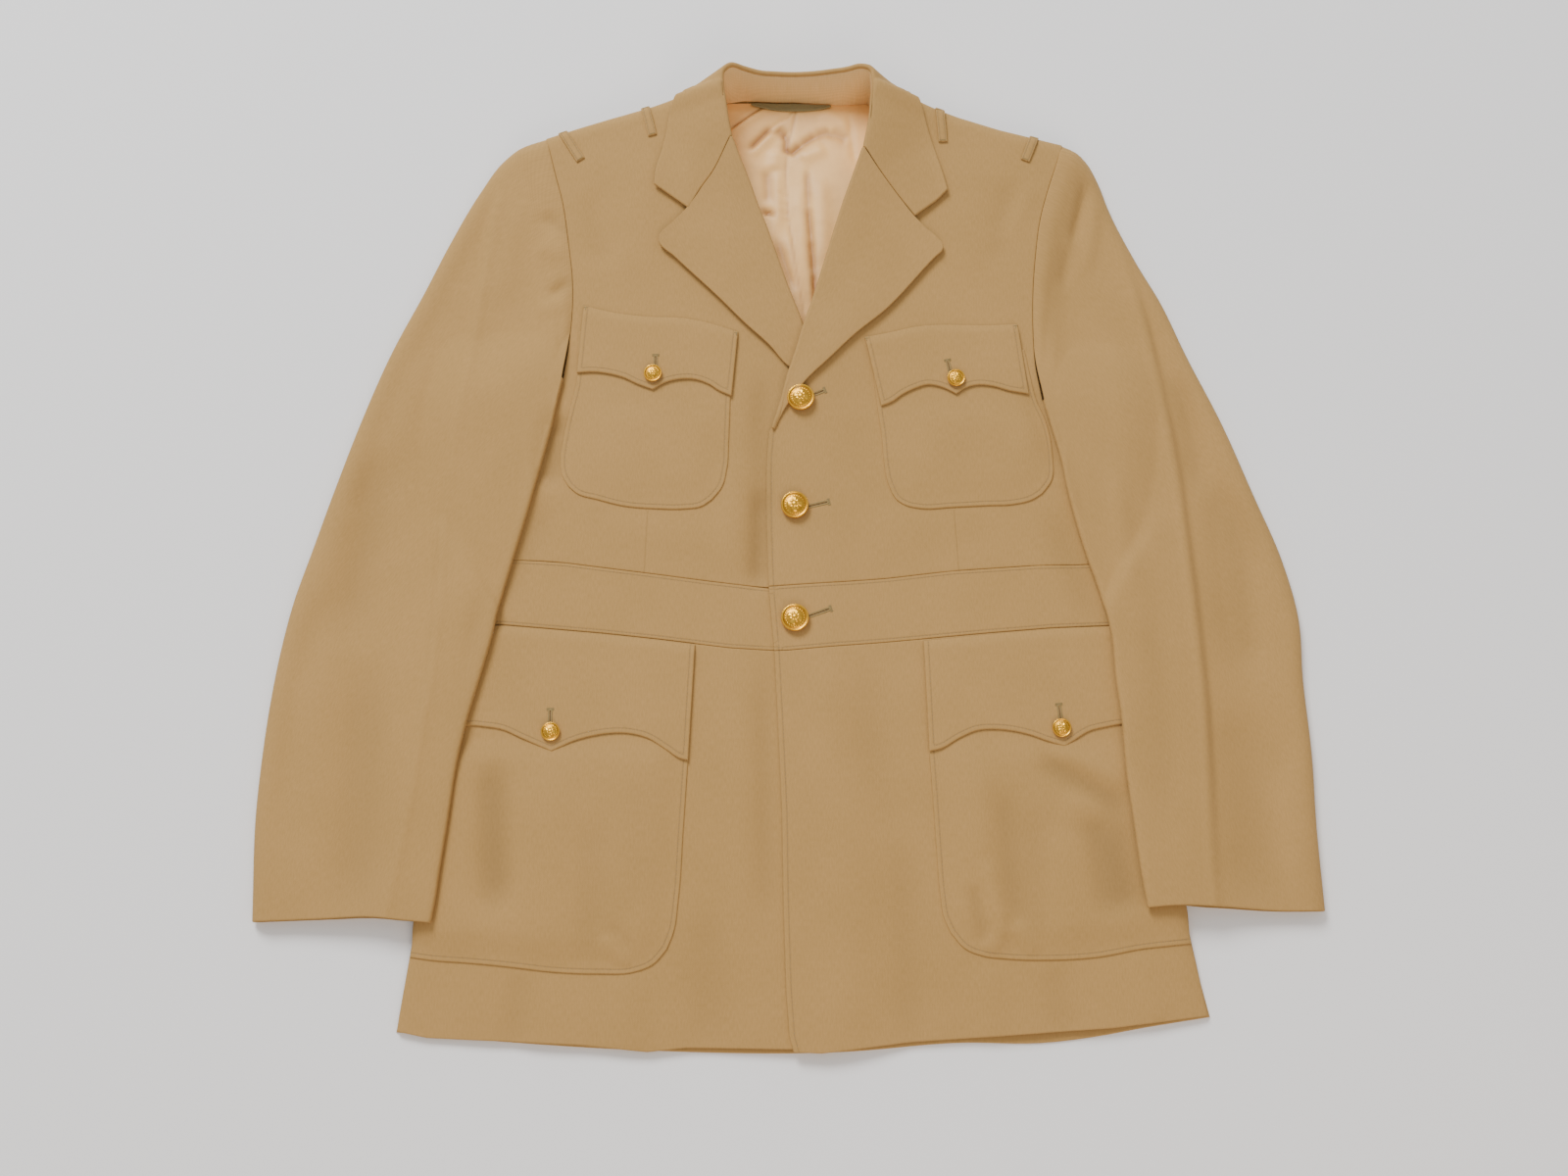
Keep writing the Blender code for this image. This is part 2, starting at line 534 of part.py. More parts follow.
lapel("lapel_right", "right", right_front, ROLL_RIGHT, 128, 333,
      [(14, 131), (1, 138), (-16, 157), (-35, 175), (-58, 199), (-94, 234), (-107, 247), (-107, 253),
       (-101, 260), (-90, 270), (-83, 276)], [(-63, 307), (-74, 292), (-83, 276)], 12)
lapel("lapel_left", "left", left_front, ROLL_LEFT, 96, 323,
      [(-5, 99), (1, 107), (12, 122), (33, 143), (56, 166), (77, 184), (122, 234), (128, 240), (128, 244),
       (123, 251), (113, 260), (105, 269)], [(76, 307.5), (88, 291), (105, 269)], 12)


# Collar: a fall turned down from its fold, and the stand behind the neck.
COLLAR_TILT = columns("v tilt", [(0, 0.0), (0.2, 0.15), (0.3, 0.9), (0.37, 1.35), (0.63, 1.35), (0.7, 0.9),
                                 (0.8, 0.15), (1, 0.0)])
COLLAR_FOLD = [(-48.2, 337.5, 38), (-49.5, 353, 40.4), (-52, 370, 42.4), (-54, 384, 44), (-53.5, 394, 44.4),
               (-48, 399.5, 43.6), (-38, 399, 40), (-26, 397.5, 37), (-12, 397.5, 35), (5, 397.5, 34),
               (24, 398, 35), (38, 398.5, 37.4), (51, 398.5, 40.6), (61, 399, 43.4), (68, 396, 44.6),
               (70, 386, 44.4), (68.5, 370, 43.2), (67, 353, 41.4), (64.2, 338, 39.6), (62, 327, 37.8)]
COLLAR_EDGE = [(-112, 298, 26.6), (-111, 310, 27), (-106.5, 327, 27), (-102.5, 344, 27), (-99.5, 362, 26),
               (-95, 376, 25), (-86, 388, 18), (-74, 396, 9), (-58, 401, 4), (-36, 402.5, 2.4),
               (-10, 403, 2.2), (5, 403, 2.2), (22, 403, 2.2), (48, 402.5, 2.4), (72, 401, 4),
               (88, 395, 9), (100, 387, 18), (109, 375, 25), (113.5, 362, 26), (117, 348, 27),
               (121.5, 333, 27), (128, 312, 27), (133, 293, 26.6)]
GORGE_RIGHT = [(-63.2, 309.6), (-73.4, 294.6), (-83, 279)], [(-83, 279), (-86, 280), (-98, 288), (-112, 298)]
GORGE_LEFT = [(78.2, 310.2), (90.2, 293.6), (107, 272.4)], [(107, 272.4), (115, 277.4), (124, 284), (133, 293)]


def clear_height(x, y, offset):
    """Height at a normal distance over whichever front lies below."""
    def over(height):
        step = 0.05
        slope_x = (height(x + step, y) - height(x - step, y)) / (2 * step)
        slope_y = (height(x, y + step) - height(x, y - step)) / (2 * step)
        steep = np.sqrt(slope_x ** 2 + slope_y ** 2 + 1)
        return height(x, y) + offset * np.minimum(steep, 1.6)
    return np.where(x < 5, over(right_front), over(left_front))


def collar():
    v = np.concatenate([np.linspace(0, 0.22, 6), np.linspace(0.22, 0.38, 7)[1:], np.linspace(0.38, 0.62, 5)[1:],
                        np.linspace(0.62, 0.78, 7)[1:], np.linspace(0.78, 1, 6)[1:]])
    line = curve(COLLAR_FOLD, v)
    along = np.gradient(line[:, :2], v, axis=0)
    along /= np.linalg.norm(along, axis=1)[:, None]
    outward = np.stack([-along[:, 1], along[:, 0]], -1)
    tilt = np.interp(v, COLLAR_TILT["v"], COLLAR_TILT["tilt"])
    inner = 0.5
    radius = inner + COLLAR_WALL
    centre = line.copy()
    centre[:, :2] += outward * (radius * np.cos(tilt)[:, None])
    centre[:, 2] -= radius
    fold = fold_points(centre, outward, tilt, inner, COLLAR_WALL)
    start = fold[:, -1]

    def with_height(parts):
        done = []
        for part in parts:
            x, y = np.array(part, float).T
            done.append(np.stack([x, y, clear_height(x, y, FRONT_WALL + LAY_GAP) + 1.0], -1))
        return done
    right = with_height([[tuple(start[0, :2])] + GORGE_RIGHT[0], GORGE_RIGHT[1]])
    left = with_height([[tuple(start[-1, :2])] + GORGE_LEFT[0], GORGE_LEFT[1]])
    right[0][0] = start[0]
    left[0][0] = start[-1]
    right[1][-1] = COLLAR_EDGE[0]
    left[1][-1] = COLLAR_EDGE[-1]
    u = np.array([0, 0.07, 0.18, 0.32, 0.5, 0.66, 0.82, 1.0])[None, :]
    edge = curve(COLLAR_EDGE, v)
    fall = start[:, None] * (1 - u[..., None]) + edge[:, None] * u[..., None]
    for end, share in ((right, v), (left, 1 - v)):
        shape = chain(end, u[0], [0.66])
        straight = shape[:1] * (1 - u[0][:, None]) + shape[-1:] * u[0][:, None]
        near = np.clip(1 - share / 0.2, 0, 1) ** 2
        fall = fall + near[:, None, None] * (shape - straight)[None]
    line_y = np.interp(fall[..., 0], SHOULDER["x"], SHOULDER["y"])
    near_line = 2.4 * ease((fall[..., 1] - line_y + 24) / 12)
    low = clear_height(fall[..., 0], np.minimum(fall[..., 1], line_y - 2), FRONT_WALL + LAY_GAP + 1.5 + near_line)
    fall[..., 2] = np.where(fall[..., 1] < line_y + 2.5, np.maximum(fall[..., 2], low), fall[..., 2])
    points = np.concatenate([fold, fall[:, 1:]], 1)
    cloth("collar", points[:, ::-1], COLLAR_WALL, khaki)
    return fold[:, 0], v


collar_under, collar_v = collar()


# Stand: the inner side of the collar behind the neck, from its seam up to the fold.
def stand():
    band = (collar_v > 0.2) & (collar_v < 0.8)
    top = collar_under[band]
    x = np.clip(top[:, 0], -47, 64)
    foot_y = np.interp(x, [-50, -38, -15, 5, 25, 45, 66], [389, 391, 390, 389.5, 388.5, 386.5, 388])
    foot = np.stack([x, foot_y, 3.4 + 0 * x], -1)
    keep = (top[:, 0] > -43) & (top[:, 0] < 60)
    top, foot = top[keep], foot[keep]
    top = top + (0, -0.4, -1.2)
    ends = np.array([(-49.5, 385, 37), (-47, 392.5, 37.2), (63.5, 392.5, 37.6), (66.5, 385, 37.4)])
    feet = np.array([(-52.5, 381, 3.4), (-49.5, 386.5, 3.4), (67.4, 385, 3.6), (70.6, 379.5, 3.6)])
    top = np.concatenate([ends[:2], top, ends[2:]])
    foot = np.concatenate([feet[:2], foot, feet[2:]])
    rows = np.linspace(0, 1, 4)[:, None, None]
    lean = np.array([0, -2.0, 0]) * np.sin(math.pi * rows)
    return cloth("collar_stand", foot * (1 - rows) + top * rows + lean, COLLAR_WALL, khaki_inside)


stand()


# Back lining: only what shows inside the neck, with a few soft folds.
def lining():
    y = np.linspace(128, 386, 12)[:, None]
    low = np.interp(y, [128, 300, 360, 386], [-84, -90, -72, -44])
    high = np.interp(y, [128, 300, 360, 386], [92, 104, 82, 60])
    x = low + (high - low) * np.linspace(0, 1, 12)[None, :]
    fold = 0.6 * np.sin((x - 0.35 * y) / 17.0) + 0.5 * np.sin((x + 0.6 * y) / 26.0)
    rise = (0.2 + 0.7 * (fold + 1.1)) * ease((386 - y) / 30) * ease((y - 128) / 30)
    return cloth("back_lining", np.stack([x, y + 0 * x, BACK_WALL + FLOOR_GAP + rise], -1), LINING_WALL, satin)


lining()


# Hanger loop: a short sagging band sewn under the stand.
def hanger():
    x = np.linspace(-32, 37, 9)[None, :]
    high = np.interp(x, [-32, 5, 37], [385, 384.5, 382.5])
    low = high - 1.6 - 5.4 * np.sin(math.pi * (x + 32) / 69)
    v = np.array([0, 0.5, 1.0])[:, None]
    z = BACK_WALL + FLOOR_GAP + LINING_WALL + 0.4 + 0.7 * (1 - v) + 0 * x
    return cloth("hanger_loop", np.stack([x + 0 * v, low + (high - low) * v, z], -1), LOOP_WALL, tape)


hanger()


# Patch pockets and their flaps, on the fronts.
OVER_FRONT = FRONT_WALL + LAY_GAP
OVER_POCKET = OVER_FRONT + POCKET_WALL + LAY_GAP
SIDE_INSET = 2.6


def patch_pocket(name, height, left, bottom, right, top, u, rows):
    xy = patch(lambda s: curve(bottom, s), lambda s: curve(top, s),
               lambda s: curve(left, s), lambda s: curve(right, s), u, rows[:, None])
    points = moved_out(xy[..., 0], xy[..., 1], height, OVER_FRONT)
    return cloth(name, points, POCKET_WALL, khaki)


def flap(name, height, top, left_low, right_low, u, corner):
    """A flap with a point in the middle of its lower edge, sewn down along its top."""
    bottom = [left_low, right_low]
    sides = [left_low[0], top[0]], [right_low[-1], top[-1]]
    v = np.array([0, 0.3, 0.6, 0.85, 1.0])[:, None]
    xy = patch(lambda s: chain(bottom, s, [corner]), lambda s: curve(top, s),
               lambda s: curve(sides[0], s), lambda s: curve(sides[1], s), u, v)
    points = moved_out(xy[..., 0], xy[..., 1], height, OVER_POCKET)
    points[..., 2] += 0.8 * (1 - v) - 0.9 * ease((v - 0.8) / 0.2)
    return cloth(name, points, FLAP_WALL, khaki)


even = np.linspace(0, 1, 8)[None, :]
rows_chest_pocket = np.linspace(0, 1, 8)
patch_pocket("chest_pocket_right", right_front,
             [(-176, 37), (-181, 46), (-183, 60), (-181, 79), (-177, 103), (-173, 122), (-172, 170)],
             [(-176, 37), (-169, 31), (-153, 26), (-130, 20), (-106, 18), (-83, 18), (-70, 20), (-61, 26)],
             [(-61, 26), (-53, 36), (-49, 52), (-48, 75), (-47, 110), (-46, 152)],
             [(-172, 170), (-145, 166), (-110, 162), (-80, 158), (-46, 152)], even, rows_chest_pocket)
patch_pocket("chest_pocket_left", left_front,
             [(83, 31), (79, 42), (77, 55), (75, 81), (72, 103), (68, 143)],
             [(83, 31), (86, 26), (93, 21), (105, 18), (130, 19), (159, 21), (179, 22), (195, 26), (203, 31)],
             [(203, 31), (211, 42), (213, 63), (209, 92), (202, 110), (193, 154)],
             [(68, 143), (100, 151), (130, 155), (160, 154), (193, 154)], even, rows_chest_pocket)
flap_u = np.concatenate([np.linspace(0, 0.5, 6), np.linspace(0.5, 1, 6)[1:]])[None, :]
flap("chest_flap_right", right_front, [(-168, 192), (-145, 186), (-115, 182), (-86, 181), (-66, 177), (-41, 169)],
     [(-172, 133), (-158, 133.5), (-147, 132), (-133, 128), (-123, 123), (-110, 118)],
     [(-110, 118), (-100, 124), (-88, 127), (-77, 127), (-65, 123), (-56, 117), (-46, 112.5)], flap_u, 0.5)
flap("chest_flap_left", left_front, [(62, 163), (84, 168), (104, 173), (124, 175), (144, 175), (164, 175), (188, 176)],
     [(75, 104), (83, 107), (93, 114), (103, 119), (113, 122), (121, 121), (129, 118), (136, 114)],
     [(136, 114), (143, 119), (153, 122), (166, 121), (180, 117), (195, 115)], flap_u, 0.5)

LOW_RIGHT_U = shares(190, near=(0.0, 4.0, 11.4), count=7)[None, :]
LOW_LEFT_U = shares(190, far=(0.0, 4.0, 11.4), count=7)[None, :]


def by_side(side, ys):
    inset = SIDE_INSET if side == "right" else -SIDE_INSET
    return [(float(side_x(side, y)) + inset, y) for y in ys]


patch_pocket("lower_pocket_right", right_front,
             by_side("right", (-331, -290, -240, -190, -145, -108)),
             by_side("right", (-331,)) + [(-267, -333), (-240, -335), (-208, -338), (-172, -342), (-142, -343),
                                          (-116, -342), (-101, -336), (-91, -325)],
             [(-91, -325), (-86, -312), (-83, -290), (-80, -237), (-78, -200), (-76, -160), (-75, -113)],
             by_side("right", (-108,)) + [(-200, -103), (-140, -106), (-75, -113)],
             LOW_RIGHT_U, np.linspace(0, 1, 10))
patch_pocket("lower_pocket_left", left_front,
             [(121, -313), (116, -301), (114, -286), (112, -254), (110, -212), (108, -175), (106, -111)],
             [(121, -313), (132, -325), (145, -330), (161, -332), (195, -333), (229, -331), (264, -325)]
             + by_side("left", (-321,)),
             by_side("left", (-321, -280, -235, -190, -145, -106)),
             [(106, -111), (150, -106), (200, -101)] + by_side("left", (-106,)),
             LOW_LEFT_U, np.linspace(0, 1, 10))
right_top = by_side("right", (-77,)) + [(-230, -78.5), (-195, -81.5), (-149, -85.5), (-103, -90.5), (-74, -93.5)]
left_top = [(106, -90.5), (132, -88), (158, -85.5), (206, -81.5), (240, -79.5)] + by_side("left", (-79,))
LOW_FLAP_RIGHT_U = np.concatenate([LOW_RIGHT_U[:, :3], np.linspace(0.2, 0.43, 4)[None], np.linspace(0.43, 1, 7)[None, 1:]], 1)
LOW_FLAP_LEFT_U = np.concatenate([np.linspace(0, 0.62, 7)[None], np.linspace(0.62, 0.86, 4)[None, 1:], LOW_LEFT_U[:, -3:]], 1)
flap("lower_flap_right", right_front, right_top,
     by_side("right", (-160,)) + [(-248, -157), (-233, -158), (-221, -160), (-205, -167), (-189, -174), (-182, -177)],
     [(-182, -177), (-176, -174), (-165, -169), (-151, -165), (-138, -163), (-124, -163), (-108, -167),
      (-95, -175), (-82, -183), (-77, -184)], LOW_FLAP_RIGHT_U, 0.43)
flap("lower_flap_left", left_front, left_top,
     [(108, -177), (117, -175), (131, -167), (145, -161), (160, -160), (171, -161), (185, -164), (199, -169),
      (212, -173)],
     [(212, -173), (220, -168), (232, -161), (244, -158), (256, -156)] + by_side("left", (-158,)),
     LOW_FLAP_LEFT_U, 0.62)


# Shoulder loops: narrow bands over the shoulder, two a side.
def shoulder_loop(name, height, top, low, width=7.6):
    (x0, y0), (x1, y1) = low, top
    length = math.hypot(x1 - x0, y1 - y0)
    along = np.array([x1 - x0, y1 - y0]) / length
    v = shares(length, far=(0.0, 4.0, 9.0), count=3)[:, None]
    u = np.array([-0.5, 0.0, 0.5])[None, :] * width
    x = x0 + along[0] * length * v + along[1] * u
    y = y0 + along[1] * length * v - along[0] * u
    return cloth(name, moved_out(x, y, height, OVER_FRONT + 0.55), LOOP_WALL, khaki)


for name, height, top, low in (
        ("shoulder_loop_right_outer", right_front, (-189, 345), (-174, 322)),
        ("shoulder_loop_right_inner", right_front, (-120, 368), (-114, 344)),
        ("shoulder_loop_left_inner", left_front, (128, 365), (130, 338)),
        ("shoulder_loop_left_outer", left_front, (207, 341), (199, 322))):
    shoulder_loop(name, height, top, low)


# Buttons: domed, with a rim and a short shank, each turned round its own axis.
BUTTON = [(0.0, 0.52), (0.45, 0.46), (0.8, 0.33), (0.9, 0.35), (1.0, 0.25), (0.95, 0.14),
          (0.45, 0.11), (0.4, 0.0), (0.0, 0.0)]


def button(name, x, y, radius, height, over, steps):
    turned_x = x + np.cos(np.arange(8) * math.pi / 4) * radius * 0.45
    turned_y = y + np.sin(np.arange(8) * math.pi / 4) * radius * 0.45
    seat = float(np.max(moved_out(turned_x, turned_y, height, over + FLOOR_GAP)[:, 2]))
    outline = [(r * radius * MM, 0, z * radius * MM) for r, z in BUTTON]
    mesh = bpy.data.meshes.new(name)
    mesh.from_pydata(outline, [(n, n + 1) for n in range(len(outline) - 1)], [])
    made = place(name, mesh, gilt)
    made.location = ((x - MIDDLE_X) * MM, (y - MIDDLE_Y) * MM, seat * MM)
    screw = made.modifiers.new("Turn", "SCREW")
    screw.steps = steps
    screw.render_steps = steps
    screw.use_merge_vertices = True
    screw.merge_threshold = 0.0001
    return made


FLAP_TOP = OVER_POCKET + FLAP_WALL + 0.8
for n, (x, y) in enumerate(((10, 110), (5, 20), (5, -72)), 1):
    over = FRONT_WALL if n > 1 else OVER_FRONT + LAPEL_WALL + 1.2    # the first stands on the lapel's end
    button("front_button_%d" % n, x, y, BUTTON_RADIUS, left_front, over, 16)
for name, x, y, height in (("chest_right", -110, 131, right_front), ("chest_left", 136, 127, left_front),
                           ("lower_right", -183, -162, right_front), ("lower_left", 210, -159, left_front)):
    button("pocket_button_" + name, x, y, POCKET_BUTTON_RADIUS, height, FLAP_TOP, 12)
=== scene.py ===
"""Service dress jacket laid flat on its back and seen from a little below its hem.

Each cut piece of the jacket is a thin cloth shell on a fine grid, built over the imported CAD
frame: the front's height over the floor is one function, and everything that lies on the front
is that function moved out. Tables are in millimetres, in the order they are cut and sewn.
"Right" and "left" are the wearer's: the right side is at -X, at the left of the picture.
"""
import math

import bpy
import numpy as np
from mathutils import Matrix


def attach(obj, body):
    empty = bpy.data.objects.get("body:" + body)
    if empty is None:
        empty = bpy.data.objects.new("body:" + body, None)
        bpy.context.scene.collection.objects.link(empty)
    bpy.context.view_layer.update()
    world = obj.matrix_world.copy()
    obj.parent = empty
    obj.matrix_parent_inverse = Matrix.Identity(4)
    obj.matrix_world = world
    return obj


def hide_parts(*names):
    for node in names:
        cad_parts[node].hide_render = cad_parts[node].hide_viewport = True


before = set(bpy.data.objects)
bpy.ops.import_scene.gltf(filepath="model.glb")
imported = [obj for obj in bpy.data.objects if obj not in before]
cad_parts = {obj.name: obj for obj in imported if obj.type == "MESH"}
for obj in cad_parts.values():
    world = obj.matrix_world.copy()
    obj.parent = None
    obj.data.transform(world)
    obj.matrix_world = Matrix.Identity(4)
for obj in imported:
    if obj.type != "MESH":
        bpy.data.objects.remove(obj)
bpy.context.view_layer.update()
MM = 0.001


# View
# The camera stands over the jacket, tipped 15 degrees towards the hem, as in the photograph.
AIM_MM = (-1.8, -46.1, 0.0)
CAMERA_AWAY_MM = 1300.0
CAMERA_TIP = math.radians(15)
camera_data = bpy.data.cameras.new("camera")
camera_data.lens = 37.5
camera_data.sensor_width = 36.0
camera_data.clip_end = 20.0
camera = bpy.data.objects.new("camera", camera_data)
bpy.context.scene.collection.objects.link(camera)
camera.location = (AIM_MM[0] * MM, (AIM_MM[1] - CAMERA_AWAY_MM * math.sin(CAMERA_TIP)) * MM,
                   CAMERA_AWAY_MM * math.cos(CAMERA_TIP) * MM)
camera.rotation_euler = (CAMERA_TIP, 0, 0)
bpy.context.scene.camera = camera


# Back
# One piece of khaki worsted with its lining, pressed flat on the table. It carries the rest and
# shows only as a thin rim under the hem.
MIDDLE_MM = (-1.744, 2.424, 0.0)     # middle of the whole jacket in the tables' own X and Y
GAP = 0.3
BACK_WALL = 2.0


def columns(names, rows):
    """A table with named columns, as a dict of arrays."""
    return dict(zip(names.split(), np.array(rows, float).T))


SIDE = columns("y right left", [
    (-400, -291, 314), (-373, -288, 310), (-305, -279, 298), (-230, -270, 287),
    (-150, -261, 274), (-60, -253, 263), (20, -256, 266), (100, -262, 272), (135, -330, 340)])
SHOULDER = columns("x y", [
    (-320, 303), (-262, 329), (-206, 348), (-179, 357), (-148, 367), (-127, 373.5), (-98, 382),
    (-60, 392), (5, 394), (75, 392), (113, 379), (144, 367.5), (179, 356), (233, 342), (300, 323)])
BACK_ARMHOLE_RIGHT = [(-262, 100), (-250, 150), (-236, 220), (-219, 290), (-203.5, 348)]
BACK_ARMHOLE_LEFT = [(272, 100), (262, 150), (252, 220), (241.5, 290), (230.5, 342)]
BACK_HEM = [(-291, -385), (-221, -391), (-104, -398), (40, -399), (126, -392.5), (189, -392.5), (228, -388),
            (262, -382), (313, -374)]
EDGE_STEPS = (0.0, 0.25, 0.7, 1.4)   # grid lines this far from an edge, so that it can be rounded


def ease(s):
    """Smooth step: 3s^2 - 2s^3 between 0 and 1."""
    s = np.clip(s, 0, 1)
    return s * s * (3 - 2 * s)


def lengths_along(path):
    """Length along a path from its first point to each of its points."""
    return np.concatenate([[0], np.cumsum(np.linalg.norm(np.diff(path, axis=0), axis=1))])


def unit(vectors):
    """Vectors brought to a length of 1."""
    return vectors / np.maximum(np.linalg.norm(vectors, axis=-1, keepdims=True), 1e-9)


def curve(points, s):
    """Smooth curve through the points at shares s of its length: cubic Hermite pieces whose
    tangents are the points' own slopes."""
    points = np.array(points, float)
    knots = lengths_along(points)
    knots /= knots[-1]
    slopes = np.gradient(points, knots, axis=0)
    s = np.clip(np.asarray(s, float), 0, 1)
    low = np.clip(np.searchsorted(knots, s, "right") - 1, 0, len(points) - 2)
    width = knots[low + 1] - knots[low]
    t = ((s - knots[low]) / width)[..., None]
    width = width[..., None]
    return ((2 * t ** 3 - 3 * t ** 2 + 1) * points[low] + (t ** 3 - 2 * t ** 2 + t) * width * slopes[low]
            + (3 * t ** 2 - 2 * t ** 3) * points[low + 1] + (t ** 3 - t ** 2) * width * slopes[low + 1])


def chain(parts, s, corners=None):
    """Curves end to end, with corners where they meet, at shares s of the whole. The corners
    fall at the given shares, or where the lengths put them."""
    lengths = [np.linalg.norm(np.diff(np.array(p, float), axis=0), axis=1).sum() for p in parts]
    ends = np.concatenate([[0], np.cumsum(lengths)]) / sum(lengths)
    if corners:
        ends = np.array([0, *corners, 1])
    s = np.asarray(s, float)
    found = curve(parts[0], s / ends[1])
    for n in range(1, len(parts)):
        share = (s - ends[n]) / (ends[n + 1] - ends[n])
        found = np.where((s > ends[n])[..., None], curve(parts[n], share), found)
    return found


def patch(low, high, start, end, u, v):
    """Coons patch: low and high are curves of u, start and end are curves of v, each a function
    or a list of points. The surface is the two straight blends between facing curves, less the
    blend of the four corners."""
    low, high, start, end = (line if callable(line) else lambda s, line=line: curve(line, s)
                             for line in (low, high, start, end))
    u, v = np.broadcast_arrays(np.asarray(u, float), np.asarray(v, float))
    a, b = u[..., None], v[..., None]
    zero, one = np.zeros(1), np.ones(1)
    corners = ((1 - a) * (1 - b) * low(zero)[0] + a * (1 - b) * low(one)[0]
               + (1 - a) * b * high(zero)[0] + a * b * high(one)[0])
    return (1 - b) * low(u) + b * high(u) + (1 - a) * start(v) + a * end(v) - corners


def shares(length, step, near=EDGE_STEPS, far=EDGE_STEPS):
    """Shares 0 to 1 of a length in even steps, with extra lines near its two ends."""
    first = np.array(near) / length
    last = 1 - np.array(far)[::-1] / length
    count = max(2, int(math.ceil((last[0] - first[-1]) * length / step)))
    return np.concatenate([first[:-1], np.linspace(first[-1], last[0], count + 1), last[1:]])


def grid_normals(points, closed=False):
    """Unit normals of a grid: the cross product of its slopes along columns and rows. A closed
    grid's last column is its first one again."""
    if closed:
        around = np.concatenate([points[:, -2:-1], points, points[:, 1:2]], 1)
        across = around[:, 2:] - around[:, :-2]
    else:
        across = np.gradient(points, axis=1)
    return unit(np.cross(across, np.gradient(points, axis=0)))


def line_distance(xy, path):
    """Distance in plan from each point to a path of straight pieces."""
    flat = xy.reshape(-1, 1, 2).astype(np.float32)
    a, b = path[None, :-1].astype(np.float32), path[None, 1:].astype(np.float32)
    along = b - a
    share = ((flat - a) * along).sum(-1) / np.maximum((along ** 2).sum(-1), 1e-9)
    nearest = a + np.clip(share, 0, 1)[..., None] * along
    return np.sqrt(((flat - nearest) ** 2).sum(-1)).min(1).reshape(xy.shape[:-1])


def edge_distance(points, closed=False):
    """Distance along the grid lines from each point to the nearest edge of the grid."""
    rows = np.linalg.norm(np.diff(points, axis=0), axis=-1)
    down = np.concatenate([0 * rows[:1], np.cumsum(rows, 0)], 0)
    found = np.minimum(down, down[-1:] - down)
    if not closed:
        cols = np.linalg.norm(np.diff(points, axis=1), axis=-1)
        across = np.concatenate([0 * cols[:, :1], np.cumsum(cols, 1)], 1)
        found = np.minimum(found, np.minimum(across, across[:, -1:] - across))
    return found


def grid_faces(rows, cols, first, flip=False):
    """Quads of a grid of points numbered row by row from first, turned over if flip."""
    r, c = np.meshgrid(np.arange(rows - 1), np.arange(cols - 1), indexing="ij")
    a = first + r * cols + c
    quads = np.stack([a, a + 1, a + cols + 1, a + cols], -1).reshape(-1, 4)
    return quads[:, ::-1] if flip else quads


def new_piece(name, verts, faces, material, point_values=(), cut=None):
    """A smooth mesh object at the origin from points in millimetres. point_values are named
    numbers for each point, and cut is each face corner's place on the flat cloth, as a UV map."""
    mesh = bpy.data.meshes.new(name)
    faces = faces.tolist() if isinstance(faces, np.ndarray) else faces
    mesh.from_pydata((verts - np.array(MIDDLE_MM)) * MM, [], faces)
    for label, values in point_values:
        mesh.attributes.new(label, "FLOAT", "POINT").data.foreach_set("value", values)
    if cut is not None:
        mesh.uv_layers.new(name="cut").data.foreach_set("uv", (cut * MM).ravel())
    mesh.shade_smooth()
    mesh.materials.append(material)
    made = bpy.data.objects.new(name, mesh)
    bpy.context.scene.collection.objects.link(made)
    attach(made, "root")
    return made


NO_STITCH = 50.0         # a distance from the stitches that is too far to show any


def shell(name, points, wall, material, closed=False, round_over=1.4, edge_share=0.3, grain=0.0,
          stitch=NO_STITCH, shade=0.0):
    """Cloth of one wall over a grid of points of its lower face. The upper face is the lower one
    plus its normal times the wall, less a quarter round within round_over of an edge, where
    edge_share of the wall is left. grain turns the weave, stitch is each point's distance beyond
    its row of stitches, and shade is painted shade, which darkens its colour."""
    rows, cols = points.shape[:2]
    normal = grid_normals(points, closed)
    edge = edge_distance(points, closed)
    rounded = np.sqrt(1 - (1 - np.clip(edge / round_over, 0, 1)) ** 2)
    top = points + normal * (wall * (edge_share + (1 - edge_share) * rounded))[..., None]
    count = rows * cols
    verts = np.concatenate([top.reshape(-1, 3), points.reshape(-1, 3)])
    faces = [grid_faces(rows, cols, 0), grid_faces(rows, cols, count, flip=True)]
    index = np.arange(count).reshape(rows, cols)
    rims = [index[0], index[-1][::-1]] + ([] if closed else [index[:, -1], index[::-1, 0]])
    for rim in rims:
        faces.append(np.stack([rim[1:], rim[:-1], rim[:-1] + count, rim[1:] + count], -1))
    faces = np.concatenate(faces)
    corner = faces.ravel()
    plan = verts[:, :2]
    same = np.arange(2 * count).reshape(2, rows, cols)
    if closed:
        same[:, :, -1] = same[:, :, 0]
        plan = np.stack([lengths_along(points.mean(0)) + 0 * points[..., 0], points[..., 1]], -1)
        plan = np.tile(plan.reshape(-1, 2), (2, 1))
    used, faces = np.unique(same.reshape(-1)[faces], return_inverse=True)
    turn_cos, turn_sin = math.cos(grain), math.sin(grain)
    cut = np.stack([plan[:, 0] * turn_cos + plan[:, 1] * turn_sin,
                    plan[:, 1] * turn_cos - plan[:, 0] * turn_sin], -1)
    values = [(label, np.tile((value + 0 * edge).ravel(), 2)[used])
              for label, value in (("stitch", stitch), ("shade", shade))]
    made = new_piece(name, verts[used], faces.reshape(-1, 4), material, values, cut[corner])
    return {"piece": made, "top": top, "normal": normal, "points": points}


def declare(made, node):
    """Hides the CAD node that the cloth stands for, and gives the cloth back."""
    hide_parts(node)
    return made


